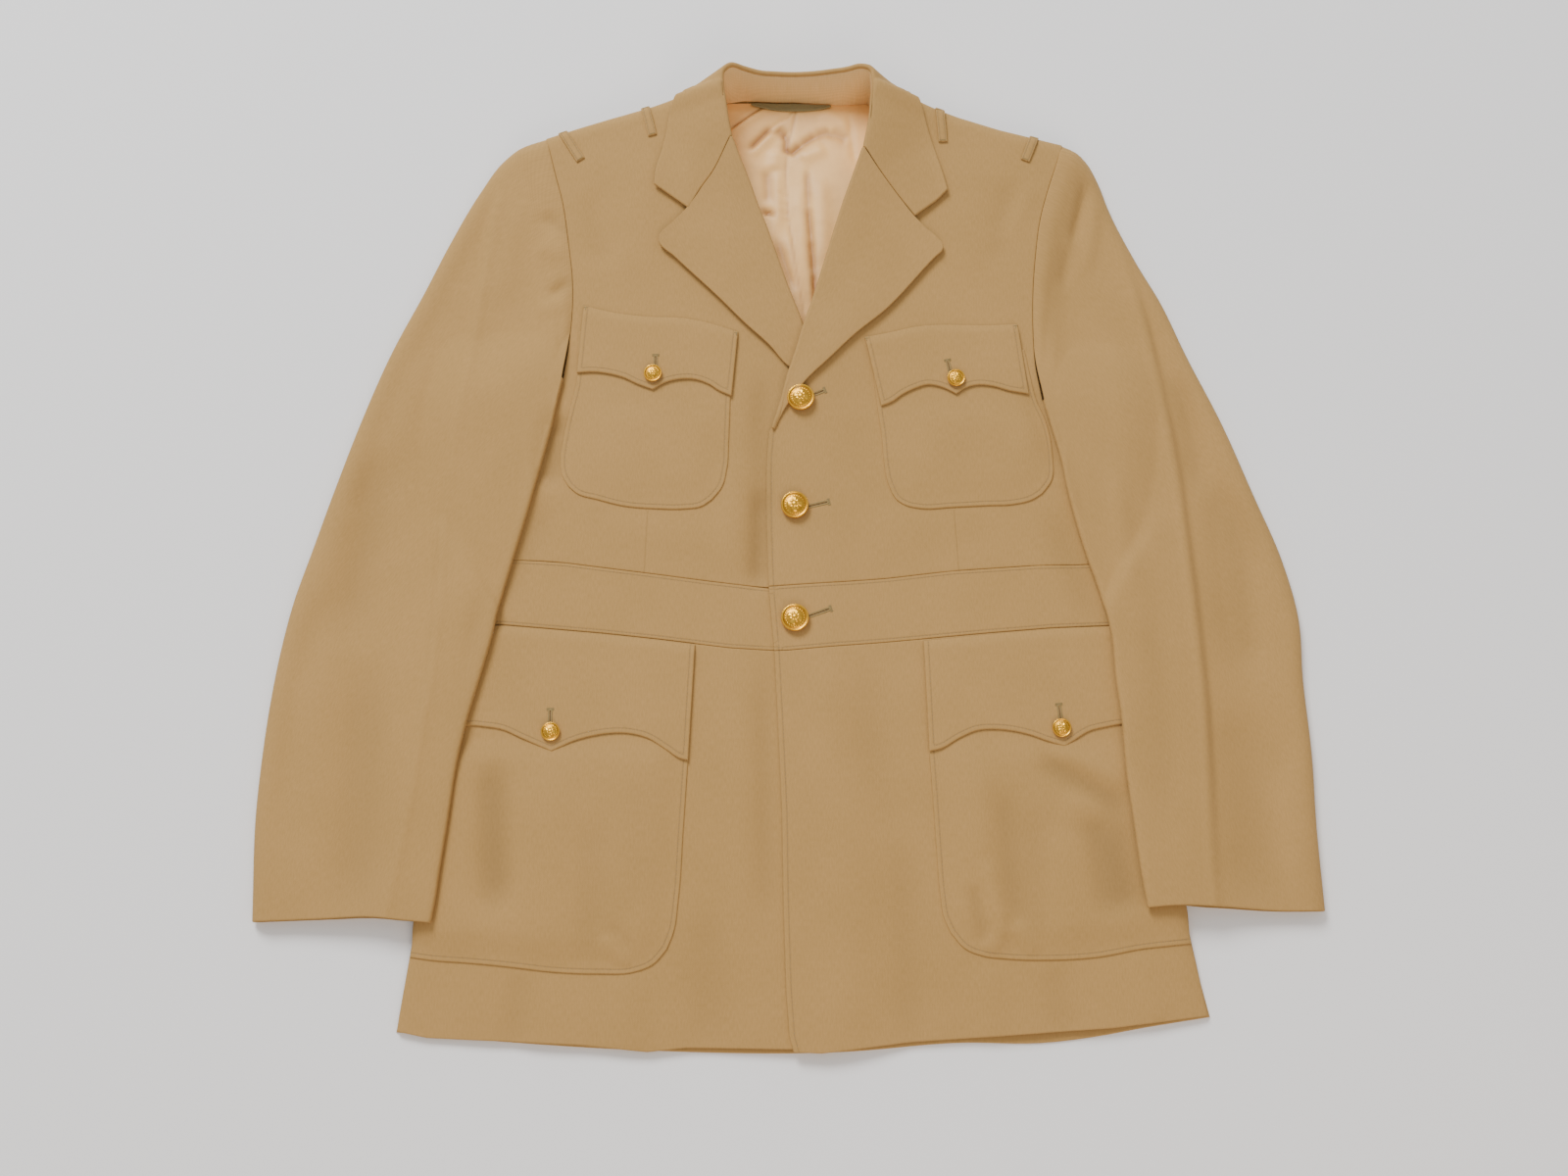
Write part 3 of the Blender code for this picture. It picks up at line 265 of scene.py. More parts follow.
def linear(hex_colour):
    """A hex colour as people pick it (sRGB), as the linear numbers that Blender wants."""
    parts = np.array([int(hex_colour[n:n + 2], 16) for n in (1, 3, 5)]) / 255
    return (*np.where(parts <= 0.04045, parts / 12.92, ((parts + 0.055) / 1.055) ** 2.4), 1.0)


def node(tree, kind, links=(), **settings):
    """Adds a node: inputs holds its sockets' values, the other settings are its own properties,
    and links are (socket, where it comes from)."""
    made = tree.nodes.new(kind)
    inputs = settings.pop("inputs", {})
    for key, value in settings.items():
        setattr(made, key, value)
    for key, value in inputs.items():
        made.inputs[key].default_value = value
    for socket, source in links:
        tree.links.new(source, made.inputs[socket])
    return made


def new_material(name):
    """A material with its node tree and its shader."""
    material = bpy.data.materials.new(name)
    material.use_nodes = True
    return material, material.node_tree, material.node_tree.nodes["Principled BSDF"]


THREAD_PITCH = 0.9       # real thread spacing is about 0.45 mm: drawn twice as coarse to show
WAVE_PER_PITCH = 2 * math.pi / 20 / (THREAD_PITCH * MM)    # a Wave node's scale for one band a pitch
GROOVE_HALF = 0.55       # half width in millimetres of the groove along a row of stitches


def worsted(name, dark, light, lift):
    """Khaki tropical worsted: matt, with a fine diagonal twill, threads of slightly uneven colour
    and a soft bloom where light grazes it. It is grooved along its rows of stitches, and its colour
    is darkened there as painted shade, and by the shade attribute as painted shade in folds."""
    material, tree, shader = new_material(name)
    cut = node(tree, "ShaderNodeUVMap", uv_map="cut").outputs["UV"]
    twill = node(tree, "ShaderNodeTexWave", [("Vector", cut)], bands_direction="DIAGONAL",
                 inputs={"Scale": WAVE_PER_PITCH * 1.4, "Distortion": 0.6,
                         "Detail": 1.0, "Detail Scale": 30.0})
    weft = node(tree, "ShaderNodeTexWave", [("Vector", cut)], bands_direction="Y",
                inputs={"Scale": WAVE_PER_PITCH, "Distortion": 0.9,
                        "Detail": 1.0, "Detail Scale": 25.0})
    slub_place = node(tree, "ShaderNodeMapping", [("Vector", cut)], inputs={"Scale": (1.0, 0.22, 1.0)})
    slub = node(tree, "ShaderNodeTexNoise", [("Vector", slub_place.outputs["Vector"])],
                inputs={"Scale": 900.0, "Detail": 3.0, "Roughness": 0.6})
    bloom = node(tree, "ShaderNodeTexNoise", [("Vector", cut)],
                 inputs={"Scale": 22.0, "Detail": 4.0, "Roughness": 0.55})
    broad = node(tree, "ShaderNodeTexNoise", [("Vector", cut)],
                 inputs={"Scale": 5.0, "Detail": 2.0, "Roughness": 0.5})
    weave = node(tree, "ShaderNodeMath", [(0, twill.outputs["Fac"]), (1, weft.outputs["Fac"])],
                 operation="MULTIPLY")
    tone = node(tree, "ShaderNodeMath", [(0, bloom.outputs["Fac"]), (2, slub.outputs["Fac"])],
                operation="MULTIPLY_ADD", inputs={1: 0.35})
    tone = node(tree, "ShaderNodeMath", [(0, broad.outputs["Fac"]), (2, tone.outputs[0])],
                operation="MULTIPLY_ADD", inputs={1: 0.3})
    spread = node(tree, "ShaderNodeMapRange", [("Value", tone.outputs[0])],
                  inputs={"From Min": 0.45, "From Max": 1.2})
    cloth = node(tree, "ShaderNodeMix", [("Factor", spread.outputs["Result"])], data_type="RGBA",
                 inputs={"A": linear(dark), "B": linear(light)})
    woven = node(tree, "ShaderNodeMapRange", [("Value", weave.outputs[0])],
                 inputs={"To Min": 0.94, "To Max": 1.05})
    # painted shade: the shade attribute darkens the colour down to 0.72 of it
    shade = node(tree, "ShaderNodeAttribute", attribute_name="shade")
    shaded = node(tree, "ShaderNodeMapRange", [("Value", shade.outputs["Fac"])],
                  inputs={"To Min": 1.0, "To Max": 0.72})
    stitch = node(tree, "ShaderNodeAttribute", attribute_name="stitch")
    across = node(tree, "ShaderNodeMath", [(0, stitch.outputs["Fac"])], operation="MULTIPLY",
                  inputs={1: 1 / GROOVE_HALF})
    square = node(tree, "ShaderNodeMath", [(0, across.outputs[0]), (1, across.outputs[0])],
                  operation="MULTIPLY")
    groove = node(tree, "ShaderNodeMath", [(1, square.outputs[0])], operation="SUBTRACT", inputs={0: 0.0})
    groove = node(tree, "ShaderNodeMath", [(0, groove.outputs[0])], operation="EXPONENT")
    # painted shade: the colour is darkened to 0.84 in the groove along each row of stitches
    sunk = node(tree, "ShaderNodeMapRange", [("Value", groove.outputs[0])],
                inputs={"To Min": 1.0, "To Max": 0.84})
    level = node(tree, "ShaderNodeMath", [(0, woven.outputs["Result"]), (1, shaded.outputs["Result"])],
                 operation="MULTIPLY")
    level = node(tree, "ShaderNodeMath", [(0, level.outputs[0]), (1, sunk.outputs["Result"])],
                 operation="MULTIPLY")
    coloured = node(tree, "ShaderNodeVectorMath",
                    [(0, cloth.outputs["Result"]), ("Scale", level.outputs[0])], operation="SCALE")
    tree.links.new(coloured.outputs["Vector"], shader.inputs["Base Color"])
    threads = node(tree, "ShaderNodeBump", [("Height", weave.outputs[0])],
                   inputs={"Strength": 0.5, "Distance": 0.00008})
    uneven = node(tree, "ShaderNodeBump",
                  [("Height", slub.outputs["Fac"]), ("Normal", threads.outputs["Normal"])],
                  inputs={"Strength": 0.5, "Distance": 0.0002})
    soft = node(tree, "ShaderNodeBump",
                [("Height", bloom.outputs["Fac"]), ("Normal", uneven.outputs["Normal"])],
                inputs={"Strength": 0.35, "Distance": lift})
    sewn = node(tree, "ShaderNodeBump",
                [("Height", groove.outputs[0]), ("Normal", soft.outputs["Normal"])],
                invert=True, inputs={"Strength": 0.5, "Distance": 0.0003})
    tree.links.new(sewn.outputs["Normal"], shader.inputs["Normal"])
    shader.inputs["Roughness"].default_value = 0.82
    shader.inputs["Specular IOR Level"].default_value = 0.22
    shader.inputs["Sheen Weight"].default_value = 0.08
    shader.inputs["Sheen Roughness"].default_value = 0.45
    shader.inputs["Sheen Tint"].default_value = linear("#E8D6B4")
    return material


khaki = worsted("khaki_worsted", "#AC884E", "#C1985D", 0.0012)


def side_x(side, y):
    """X of a side seam at a Y."""
    return np.interp(y, SIDE["y"], SIDE[side])


def shoulder_line(x):
    """Y of the shoulder line at an X."""
    return np.interp(x, SHOULDER["x"], SHOULDER["y"])


back_side_y = (-385, -300, -200, -100, 0, 100)
back_right = [[(float(side_x("right", y)), y) for y in back_side_y], BACK_ARMHOLE_RIGHT]
back_left = [[(float(side_x("left", y)), y) for y in back_side_y], BACK_ARMHOLE_LEFT]
back_right[0][0] = BACK_HEM[0]
back_left[0][0] = BACK_HEM[-1]
back_top = [(x, float(shoulder_line(x))) for x in (-203.5, -150, -98, -60, 5, 75, 113, 160, 230.5)]
ARMHOLE_FOOT = [0.66]    # share of the back's height at which its side ends and its armhole begins
back_xy = patch(BACK_HEM, back_top, lambda s: chain(back_right, s, ARMHOLE_FOOT),
                lambda s: chain(back_left, s, ARMHOLE_FOOT),
                shares(560, 9)[None, :], shares(760, 9)[:, None])
back_points = np.concatenate([back_xy, 0 * back_xy[..., :1]], -1)
declare(shell("back_cloth", back_points, BACK_WALL, khaki), "back")


# Fronts
# Each front is cut in three: the chest, a sewn-in belt and the skirt. The fronts rise over the
# jacket's lining and shoulder pads, turn down at the side seams, and the left one laps over.
FRONT_WALL = 1.8
LAY = 0.12               # between a panel and the piece that lies on it
SEAM = 0.09              # half of the gap at a pressed seam
FRONT_LOW = BACK_WALL + GAP
SIDE_ROLL = 14.0
SHOULDER_ROLL = 12.0
UNDERLAP_X = 22.0
LAPEL_WALL = 1.8
LAPEL_STACK = LAPEL_WALL + 0.45 + FRONT_WALL + 0.5
RIDGE_WIDTH = 42.0
FRONT_STITCH = 3.8       # the row of stitches along the front's free edge
BELT_STITCH = 2.6
CROWN = columns("y height", [
    (-405, 4.4), (-370, 5.6), (-300, 7.6), (-200, 9.2), (-100, 9.4), (-40, 9.6), (20, 11.2),
    (90, 13.2), (150, 14.4), (200, 16.0), (260, 18.6), (320, 21.8), (360, 23.0), (400, 23.0)])
BELT_TOP = columns("x right left", [
    (-270, -22, -46), (-218, -23, -46), (-176, -26, -46), (-139, -31, -46), (-101, -36, -46),
    (-64, -41, -46), (-15, -47, -46), (42, -48, -42), (81, -48, -38.5), (129, -48, -33),
    (197, -48, -28), (275, -48, -26)])
BELT_LOW = columns("x right left", [
    (-275, -74, -99), (-230, -76, -99), (-195, -79, -99), (-149, -83, -99), (-103, -88, -99),
    (-46, -95, -99), (0, -98, -97.5), (38, -99, -94), (105, -99, -88), (158, -99, -83),
    (206, -99, -79), (280, -99, -76)])
HEM = columns("x right left", [
    (-292, -384, -398), (-267, -389, -398), (-221, -391, -398), (-154, -394, -398),
    (-104, -399, -398), (-76, -396, -398), (-2, -397, -399), (25, -397, -400),
    (53, -397, -396.5), (90, -397, -392), (166, -397, -387), (239, -397, -382), (312, -397, -373)])
FRONT_EDGE = columns("y x", [
    (-400, 4), (-388, 0.5), (-354, -2), (-290, -4), (-224, -5), (-157, -8), (-99, -11),
    (-47, -15.4), (17, -17.2), (60, -17.2), (84, -15.4), (95, -14)])
ROLL_RIGHT = columns("y x z", [
    (110, 22, 17.6), (125, 22, 18.0), (150, 20, 19.0), (175, 13, 20.6), (200, 3, 22.4), (235, -9, 25.2),
    (256, -16, 27.2), (276, -24, 29.2), (292, -29, 31.2), (312, -37, 34), (328, -43, 36.4),
    (339, -47, 38.2), (353, -49.5, 40.4), (372, -52.5, 42.6), (388, -55, 44.4), (402, -56, 45)])
ROLL_LEFT = columns("y x z", [
    (80, -15, 20.0), (92, -12.5, 20.6), (102, -8.5, 21.2), (115, -4.5, 22.0), (127, -2, 23.0),
    (137, 1, 23.8), (152, 6, 24.8), (173, 12, 25.8), (200, 21, 26.6), (234, 31, 28.2),
    (266, 40.5, 30.2), (286, 47, 32.2), (298, 51.5, 33.8), (312, 56, 35.6), (325, 61, 37.6),
    (338, 64, 39.6), (351, 66.5, 41.4), (366, 68, 43.2), (383, 69, 44.6), (402, 71, 45)])
ARMHOLE_RIGHT = [(-262, 100), (-238, 108), (-208, 117), (-184, 128)], [
    (-184, 128), (-179, 169), (-178, 208), (-183, 250), (-189, 286), (-196, 312), (-201, 331), (-206, 348)]
ARMHOLE_LEFT = [(272, 100), (250, 101), (226, 104), (207, 109)], [
    (207, 109), (202, 140), (201, 170), (202, 203), (205, 235), (210, 268), (218, 297), (226, 320),
    (233, 342)]
# Soft folds of the fronts. Each row runs from one X and Y to another, with the fold's width and
# its height, which is negative in a trough.
FRONT_FOLDS = [
    (-22, 130, -21, 20, 11, -1.5), (-22, 30, -24, -44, 9, -3.2), (-44, 60, -46, -30, 12, 1.0),
    (-20, -120, -17, -300, 10, -1.3), (-36, -120, -34, -330, 13, 0.7),
    (-187, 96, -194, 40, 11, -2.6), (-196, 20, -226, -60, 12, -1.0), (-60, -10, -140, 4, 14, 0.5),
    (196, 118, 215, 50, 9, -1.2), (214, 10, 240, -70, 12, -1.0), (60, 0, 150, 10, 16, 0.5),
    (-150, 230, -165, 290, 12, -0.9), (-130, 220, -120, 320, 22, 0.9), (-172, 330, -150, 250, 10, 0.6),
    (172, 230, 186, 300, 12, -0.9), (150, 220, 140, 320, 22, 0.9), (206, 300, 180, 250, 9, 0.6),
    (-230, -300, -236, -385, 16, 0.8), (-200, -345, -205, -395, 12, -0.9), (-120, -345, -116, -398, 14, 0.9),
    (-60, -300, -58, -395, 18, -0.9), (50, -200, 46, -395, 22, 1.0), (86, -250, 90, -395, 13, -1.0),
    (150, -340, 150, -390, 12, 0.8), (200, -340, 206, -385, 14, -0.9), (262, -330, 272, -378, 12, 0.8),
    (60, -110, 70, -250, 16, -0.7), (30, -110, 32, -200, 14, 0.6)]


def folds(x, y, rows):
    """Sum of soft folds: height times a bell curve of the distance from its line over its width,
    fading out round each end."""
    total = np.zeros(np.broadcast(x, y).shape)
    for x0, y0, x1, y1, width, height in rows:
        length = math.hypot(x1 - x0, y1 - y0)
        dx, dy = (x1 - x0) / length, (y1 - y0) / length
        along = ((x - x0) * dx + (y - y0) * dy) / length
        across = (y - y0) * dx - (x - x0) * dy
        fade = ease((along + 0.15) / 0.35) * ease((1.15 - along) / 0.35)
        total = total + height * fade * np.exp(-(across / width) ** 2)
    return total


def hollows(x, y, rows, deepest):
    """How far a point lies down in the folds' troughs, 0 to 1 at the deepest."""
    return np.clip(-folds(x, y, rows) / deepest, 0, 1)


def turn(s):
    """Quarter round: rises from 0 straight up and levels out at 1."""
    s = np.clip(s, 0, 1)
    return np.sqrt(1 - (1 - s) ** 2)


def turned_down(x, y, top):
    """A front's height turned down by quarter rounds to the back at the side seams and at the
    shoulder line, and left as it is clear of them."""
    inside = np.minimum(x - side_x("right", y), side_x("left", y) - x)
    below = shoulder_line(x) - y
    return FRONT_LOW + (top - FRONT_LOW) * turn(inside / SIDE_ROLL) * turn(below / SHOULDER_ROLL)


def crown(x, y):
    """Height of the front's inner face before it turns down at its edges: the crown table, a
    little lower at the sides, with waves at the hem and the soft folds."""
    base = np.interp(y, CROWN["y"], CROWN["height"])
    spread = 1 - 0.14 * ease((np.abs(x - 5) - 120) / 150)
    wave = 0.8 * np.sin(x / 31.0 + 0.7) * ease((-300 - y) / 80)
    slack = 0.5 * np.sin(x / 23.0 + y / 41.0) * np.sin(y / 57.0 - x / 90.0)
    return base * spread + wave + slack + 1.5 * folds(x, y, FRONT_FOLDS)


def ridge(height, x, y, roll, plateau):
    """Raises a height to meet the fold of a roll line, fading away from it as a bell curve."""
    outward = 1 if roll is ROLL_LEFT else -1
    away = outward * (x - np.interp(y, roll["y"], roll["x"])) * 0.93
    target = np.interp(y, roll["y"], roll["z"]) - LAPEL_STACK
    fade = np.exp(-(np.clip(away - plateau, 0, None) / RIDGE_WIDTH) ** 2)
    return height + (target - height) * fade * ease((y - roll["y"][0]) / 15)


def right_front(x, y):
    """Inner face of the right front over the floor."""
    return turned_down(x, y, ridge(crown(x, y), x, y, ROLL_RIGHT, 0.0))


def left_front(x, y):
    """Inner face of the left front, which rises to lie over the right one and its lapel."""
    rise = (FRONT_WALL + 0.5) * (1 - ease((x - 26) / 54)) * (1 - ease((y - 200) / 60))
    plateau = 17 * (1 - ease((y - 170) / 60))
    return turned_down(x, y, ridge(crown(x, y) + rise, x, y, ROLL_LEFT, plateau))


FRONTS = {"right": right_front, "left": left_front}


def slopes(x, y, height):
    """Slopes of a height function in X and Y, and the length of its normal (-slope, -slope, 1)."""
    step = 0.05
    slope_x = (height(x + step, y) - height(x - step, y)) / (2 * step)
    slope_y = (height(x, y + step) - height(x, y - step)) / (2 * step)
    return slope_x, slope_y, np.sqrt(slope_x ** 2 + slope_y ** 2 + 1)


def moved_out(x, y, height, distance):
    """Points of a height function moved out along its normal by a distance."""
    slope_x, slope_y, length = slopes(x, y, height)
    return np.stack([x - slope_x / length * distance, y - slope_y / length * distance,
                     height(x, y) + distance / length], -1)


def set_back(roll, sign):
    """Points beside a roll line, a little further out at the break and under the collar."""
    extra = 1.8 * ease((roll["y"] - 315) / 20) - 2.2 * (1 - ease((roll["y"] - 84) / 14))
    across = roll["x"] + sign * (3.0 + extra)
    return [(float(x), float(y)) for x, y in zip(across[1:-1], roll["y"][1:-1])]


def front_edge_x(y):
    """X of the left front's free edge at a Y."""
    return np.interp(y, FRONT_EDGE["y"], FRONT_EDGE["x"])


def underlap_x(y):
    """The same of the right front, which is straight under the left one."""
    return UNDERLAP_X + 0 * np.asarray(y, float)


def front_panel(part, side, xy, height, stitch):
    """The cloth of one panel of a front over its grid in plan, with painted shade that darkens it down in the
    soft folds.
    """
    x, y = xy[..., 0], xy[..., 1]
    # painted shade: the colour is darker down in the troughs of the soft folds, beside the closure too
    made = shell(f"{part}_cloth_{side}", np.stack([x, y, height(x, y)], -1), FRONT_WALL, khaki,
                 round_over=0.9, edge_share=0.62, stitch=stitch,
                 shade=0.7 * hollows(x, y, FRONT_FOLDS, 3.0))
    return declare(made, f"{part}_{side}")


NEAR_SIDE = (0.0, 0.3, 0.8, 1.6, 2.6, 4.2, 6.6, 10.0, SIDE_ROLL)
NEAR_SHOULDER = (0.0, 0.3, 0.8, 1.6, 3.0, 5.0, 7.5, SHOULDER_ROLL)
CHEST_WIDE = 260         # the chest panel's greatest width
DART = {"right": (-114, -112), "left": (135, 132)}     # X of the pressed waist dart at its foot and its tip


def chest(side, height, armhole, edge):
    """A Coons patch in plan between the side and armhole, the shoulder, the free edge with its
    roll line, and the belt's seam, lifted to the front's height. The stitch values change sign
    at the waist dart, so that it is drawn as a groove too."""
    sign = -1 if side == "right" else 1
    seam = lambda x: np.interp(x, BELT_TOP["x"], BELT_TOP[side]) + SEAM
    start_x = float(side_x(side, -24))
    low_points = [(x, float(seam(x))) for x in np.linspace(start_x, edge[0][0], 12)]
    side_points = [(float(side_x(side, y)), y) for y in (low_points[0][1], 0, 30, 65, 100)]
    edge = [(edge[0][0], low_points[-1][1])] + edge[1:]
    armhole = [[(x - sign * SEAM, y - SEAM) for x, y in part] for part in armhole]
    side_points[-1] = armhole[0][0]
    top_x = np.linspace(armhole[1][-1][0], edge[-1][0], 8)[1:-1]
    top = [armhole[1][-1]] + [(x, float(shoulder_line(x))) for x in top_x] + [edge[-1]]
    turn_at = next(n for n, p in enumerate(edge) if p[1] > 80)
    free = [edge[:turn_at + 1], edge[turn_at:]]
    v = shares(420, 3.6, far=NEAR_SHOULDER)
    widths = np.interp(v, [0, 0.35, 1], [CHEST_WIDE, 250, 150])
    counted = shares(CHEST_WIDE, 3.4, near=NEAR_SIDE)
    steps, steps_left = counted * CHEST_WIDE, (1 - counted) * CHEST_WIDE
    ends = NEAR_SIDE[-1] + EDGE_STEPS[-1]
    middle = (counted - NEAR_SIDE[-1] / CHEST_WIDE) / (1 - ends / CHEST_WIDE)
    u = np.array([np.where(steps <= NEAR_SIDE[-1], steps / w,
                           np.where(steps_left <= EDGE_STEPS[-1], 1 - steps_left / w,
                                    NEAR_SIDE[-1] / w + middle * (1 - ends / w))) for w in widths])
    xy = patch(low_points, top, lambda s: chain([side_points, *armhole], s), lambda s: chain(free, s),
               u, v[:, None] + 0 * u)
    stitch = NO_STITCH + 0 * xy[..., 0]
    if side == "left":
        xy = xy[:, ::-1]
    x, y = xy[..., 0], xy[..., 1]
    if side == "left":
        free_edge = curve(edge[:turn_at + 1], np.linspace(0, 1, 60))
        stitch = line_distance(xy, free_edge) - FRONT_STITCH + 60 * (y > 84)
    past_dart = sign * (x - np.interp(y, [-34, 18], DART[side]))
    stitch = np.where(past_dart > 0, -stitch, stitch)
    stitch = np.where((np.abs(y + 8) < 26) & (np.abs(past_dart) < np.abs(stitch)), -past_dart, stitch)
    return front_panel("chest", side, xy, height, stitch)


right_edge = [(UNDERLAP_X, -47), (UNDERLAP_X, 40), (UNDERLAP_X, 110), *set_back(ROLL_RIGHT, -1), (-60, 390)]
left_edge = [(-15.4, -46), (-17.2, 17), (-17.2, 60), (-15.4, 83), *set_back(ROLL_LEFT, 1), (76, 390)]
front_pieces = {"chest_right": chest("right", right_front, ARMHOLE_RIGHT, right_edge),
                "chest_left": chest("left", left_front, ARMHOLE_LEFT, left_edge)}


def band(part, side, height, high, low, edge_x, rows, sewn):
    """A panel between two seams, from the side seam to the front edge: columns run between the
    two in even shares, rows between the seams."""
    v = rows[:, None]
    y_mid = (high(0.0) + low(0.0)) / 2
    outer = side_x(side, low(side_x(side, y_mid)) + v * (high(0.0) - low(0.0)))
    inner = edge_x(low(0.0) + v * (high(0.0) - low(0.0)))
    u = shares(float(np.abs(outer - inner).mean()), 3.6, near=NEAR_SIDE)[None, :]
    x = outer + (inner - outer) * u
    y = low(x) + v * (high(x) - low(x))
    if side == "left":
        x, y = x[:, ::-1], y[:, ::-1]
    stitch = x - edge_x(y) - FRONT_STITCH if side == "left" else NO_STITCH + 0 * x
    if sewn:
        for seam in (high(x) - y, y - low(x)):
            stitch = np.where(np.abs(seam - BELT_STITCH) < np.abs(stitch), seam - BELT_STITCH, stitch)
    return front_panel(part, side, np.stack([x, y], -1), height, stitch)


for side, height, edge_x, under in (("right", right_front, underlap_x, ["back"]),
                                    ("left", left_front, front_edge_x, ["skirt_right", "belt_right"])):
    belt_top = lambda x, s=side: np.interp(x, BELT_TOP["x"], BELT_TOP[s]) - SEAM
    belt_low = lambda x, s=side: np.interp(x, BELT_LOW["x"], BELT_LOW[s]) + SEAM
    skirt_top = lambda x, s=side: np.interp(x, BELT_LOW["x"], BELT_LOW[s]) - SEAM
    hem = lambda x, s=side: np.interp(x, HEM["x"], HEM[s])
    front_pieces["belt_" + side] = band("belt", side, height, belt_top, belt_low, edge_x, shares(52, 3.4),
                                        True)
    front_pieces["skirt_" + side] = band("skirt", side, height, skirt_top, hem, edge_x, shares(300, 3.6),
                                         False)


# Sleeves
# Each sleeve is a tube pressed flat along its seams and laid down beside the body. Its upper
# layer is set into the front's armhole, its lower one runs under the body's edge to the back.
SLEEVE_WALL = 1.5
FOLD_HALF = 2.2
SLEEVE_RISE = 9.0
POCKET_BUMP = 3.8
SEAM_RIGHT = [(-205.0, 347.9), (-200.8, 331), (-196.1, 312), (-189.1, 286), (-183.1, 250), (-178.1, 208),
              (-179.1, 169), (-184.1, 128)]
SEAM_LEFT = [(232.0, 341.9), (225.8, 320), (218.1, 297), (210.1, 268), (205.1, 235), (202.1, 203),
             (201.1, 170), (202.1, 140), (207.1, 109)]
OUTER_RIGHT = [(-402, -305), (-406, -219), (-405, -185), (-402, -139), (-397, -96), (-390, -57), (-379, -17),
               (-364, 37), (-346, 97), (-326, 154), (-302, 208), (-282, 255), (-260, 300), (-241, 329.5),
               (-230, 339), (-205.0, 347.9)]
OUTER_LEFT = [(402.5, -297), (401.5, -231), (402.5, -181), (400.5, -118), (401, -70), (391.5, -22),
              (373, 32), (352, 92), (325, 156), (308, 200), (290, 236), (268.5, 287), (262, 308),
              (254.5, 324.5), (245, 335.5), (232.0, 341.9)]
INNER_RIGHT = [(-268, -306), (-266, -293), (-263, -264), (-259, -229), (-254, -184), (-249, -157),
               (-240, -120), (-232, -87), (-227, -57), (-219, -24), (-207, 23), (-199, 58),
               (-191, 94), (-184.1, 128)]
INNER_LEFT = [(269, -295), (266, -273), (262, -232), (258, -187), (257, -154), (254, -120), (253, -90),
              (248, -60), (234, -11), (223, 38), (220, 58), (214, 83), (207.1, 109)]
CUFF_RIGHT = [(-402, -305), (-375, -304), (-347, -303), (-310, -302), (-290, -304), (-268, -306)]
CUFF_LEFT = [(402.5, -297), (366, -297), (326, -294.5), (285, -293.5), (269, -295)]
# Where each sleeve was pressed to a crease down its upper layer, from the head to the cuff.
PRESSED_RIGHT = [(-243, 290), (-254, 204), (-260, 149), (-267, 95), (-273, 25), (-273, -42), (-275, -112),
                 (-281, -162), (-286, -212), (-295, -272), (-300, -303)]
PRESSED_LEFT = [(268, 286), (273, 267), (290, 188), (302, 118), (311, 41), (316, -48), (319, -141),
                (317, -276), (318, -292)]
SLEEVE_FOLDS_RIGHT = [
    (-174, 249, -204, 274, 5, -2.0), (-184, 236, -206, 248, 7, 1.1), (-172, 216, -197, 204, 4.5, -2.0),
    (-184, 192, -206, 190, 7, 1.0), (-330, 60, -345, -80, 17, -2.0), (-355, 20, -372, -60, 14, 1.4),
    (-330, -120, -325, -290, 20, -2.4), (-362, -100, -366, -290, 18, 1.4), (-300, 150, -322, 60, 16, 1.1),
    (-225, 290, -240, 200, 12, 1.0), (-240, -60, -252, -200, 9, -1.0)]
SLEEVE_FOLDS_LEFT = [
    (251, 305, 237, 252, 4.5, -2.2), (260, 292, 248, 230, 6, 1.2), (234, 246, 227, 212, 6, -1.2),
    (352, 40, 358, -110, 20, -2.2), (378, -20, 384, -160, 16, 1.2), (350, -150, 352, -285, 22, -1.8),
    (350, 110, 360, 30, 14, 1.1), (320, 130, 331, 40, 9, -1.8), (284, -60, 288, -230, 13, -1.1),
    (262, 40, 268, -50, 8, 0.8), (386, -190, 386, -285, 12, 1.0)]


def body_below(side, x, y, reach, spread):
    """Height of what a sleeve lies on: the floor, or the front's side with its pocket and flap. It
    dies away within reach above the armhole, and within spread outside the side seam."""
    sign = -1 if side == "right" else 1
    inside = sign * (side_x(side, np.minimum(y, 100)) - x)
    hidden = ARMHOLE_RIGHT[0] if side == "right" else ARMHOLE_LEFT[0][::-1]
    path_y = np.interp(x, [p[0] for p in hidden], [p[1] for p in hidden])
    pocket = ease((-56 - y) / 14) * ease((y + 352) / 14)
    lie = crown(x, y) + FRONT_WALL + 0.6 + POCKET_BUMP * pocket
    return lie * ease((inside + spread) / (spread + 8)) * (1 - ease((y - path_y) / reach))


def pressed_crease(xy, line):
    """A sharp low ridge along a pressed line, which falls off as a pointed bell:
    1 / (1 + (distance / 4) ^ 1.3)."""
    away = line_distance(xy, curve(line, np.linspace(0, 1, 60)))
    return 2.0 / (1 + (away / 4.0) ** 1.3)


# How far above the armhole, and outside the side seam, each layer still lies on the body.
UPPER_LIES = (110, 62)
LOWER_LIES = (16, 23)
NEAR_FOLD = (0.0, 0.5, 1.3, 2.6, 4.4, 6.6, 9.5, 13.0)


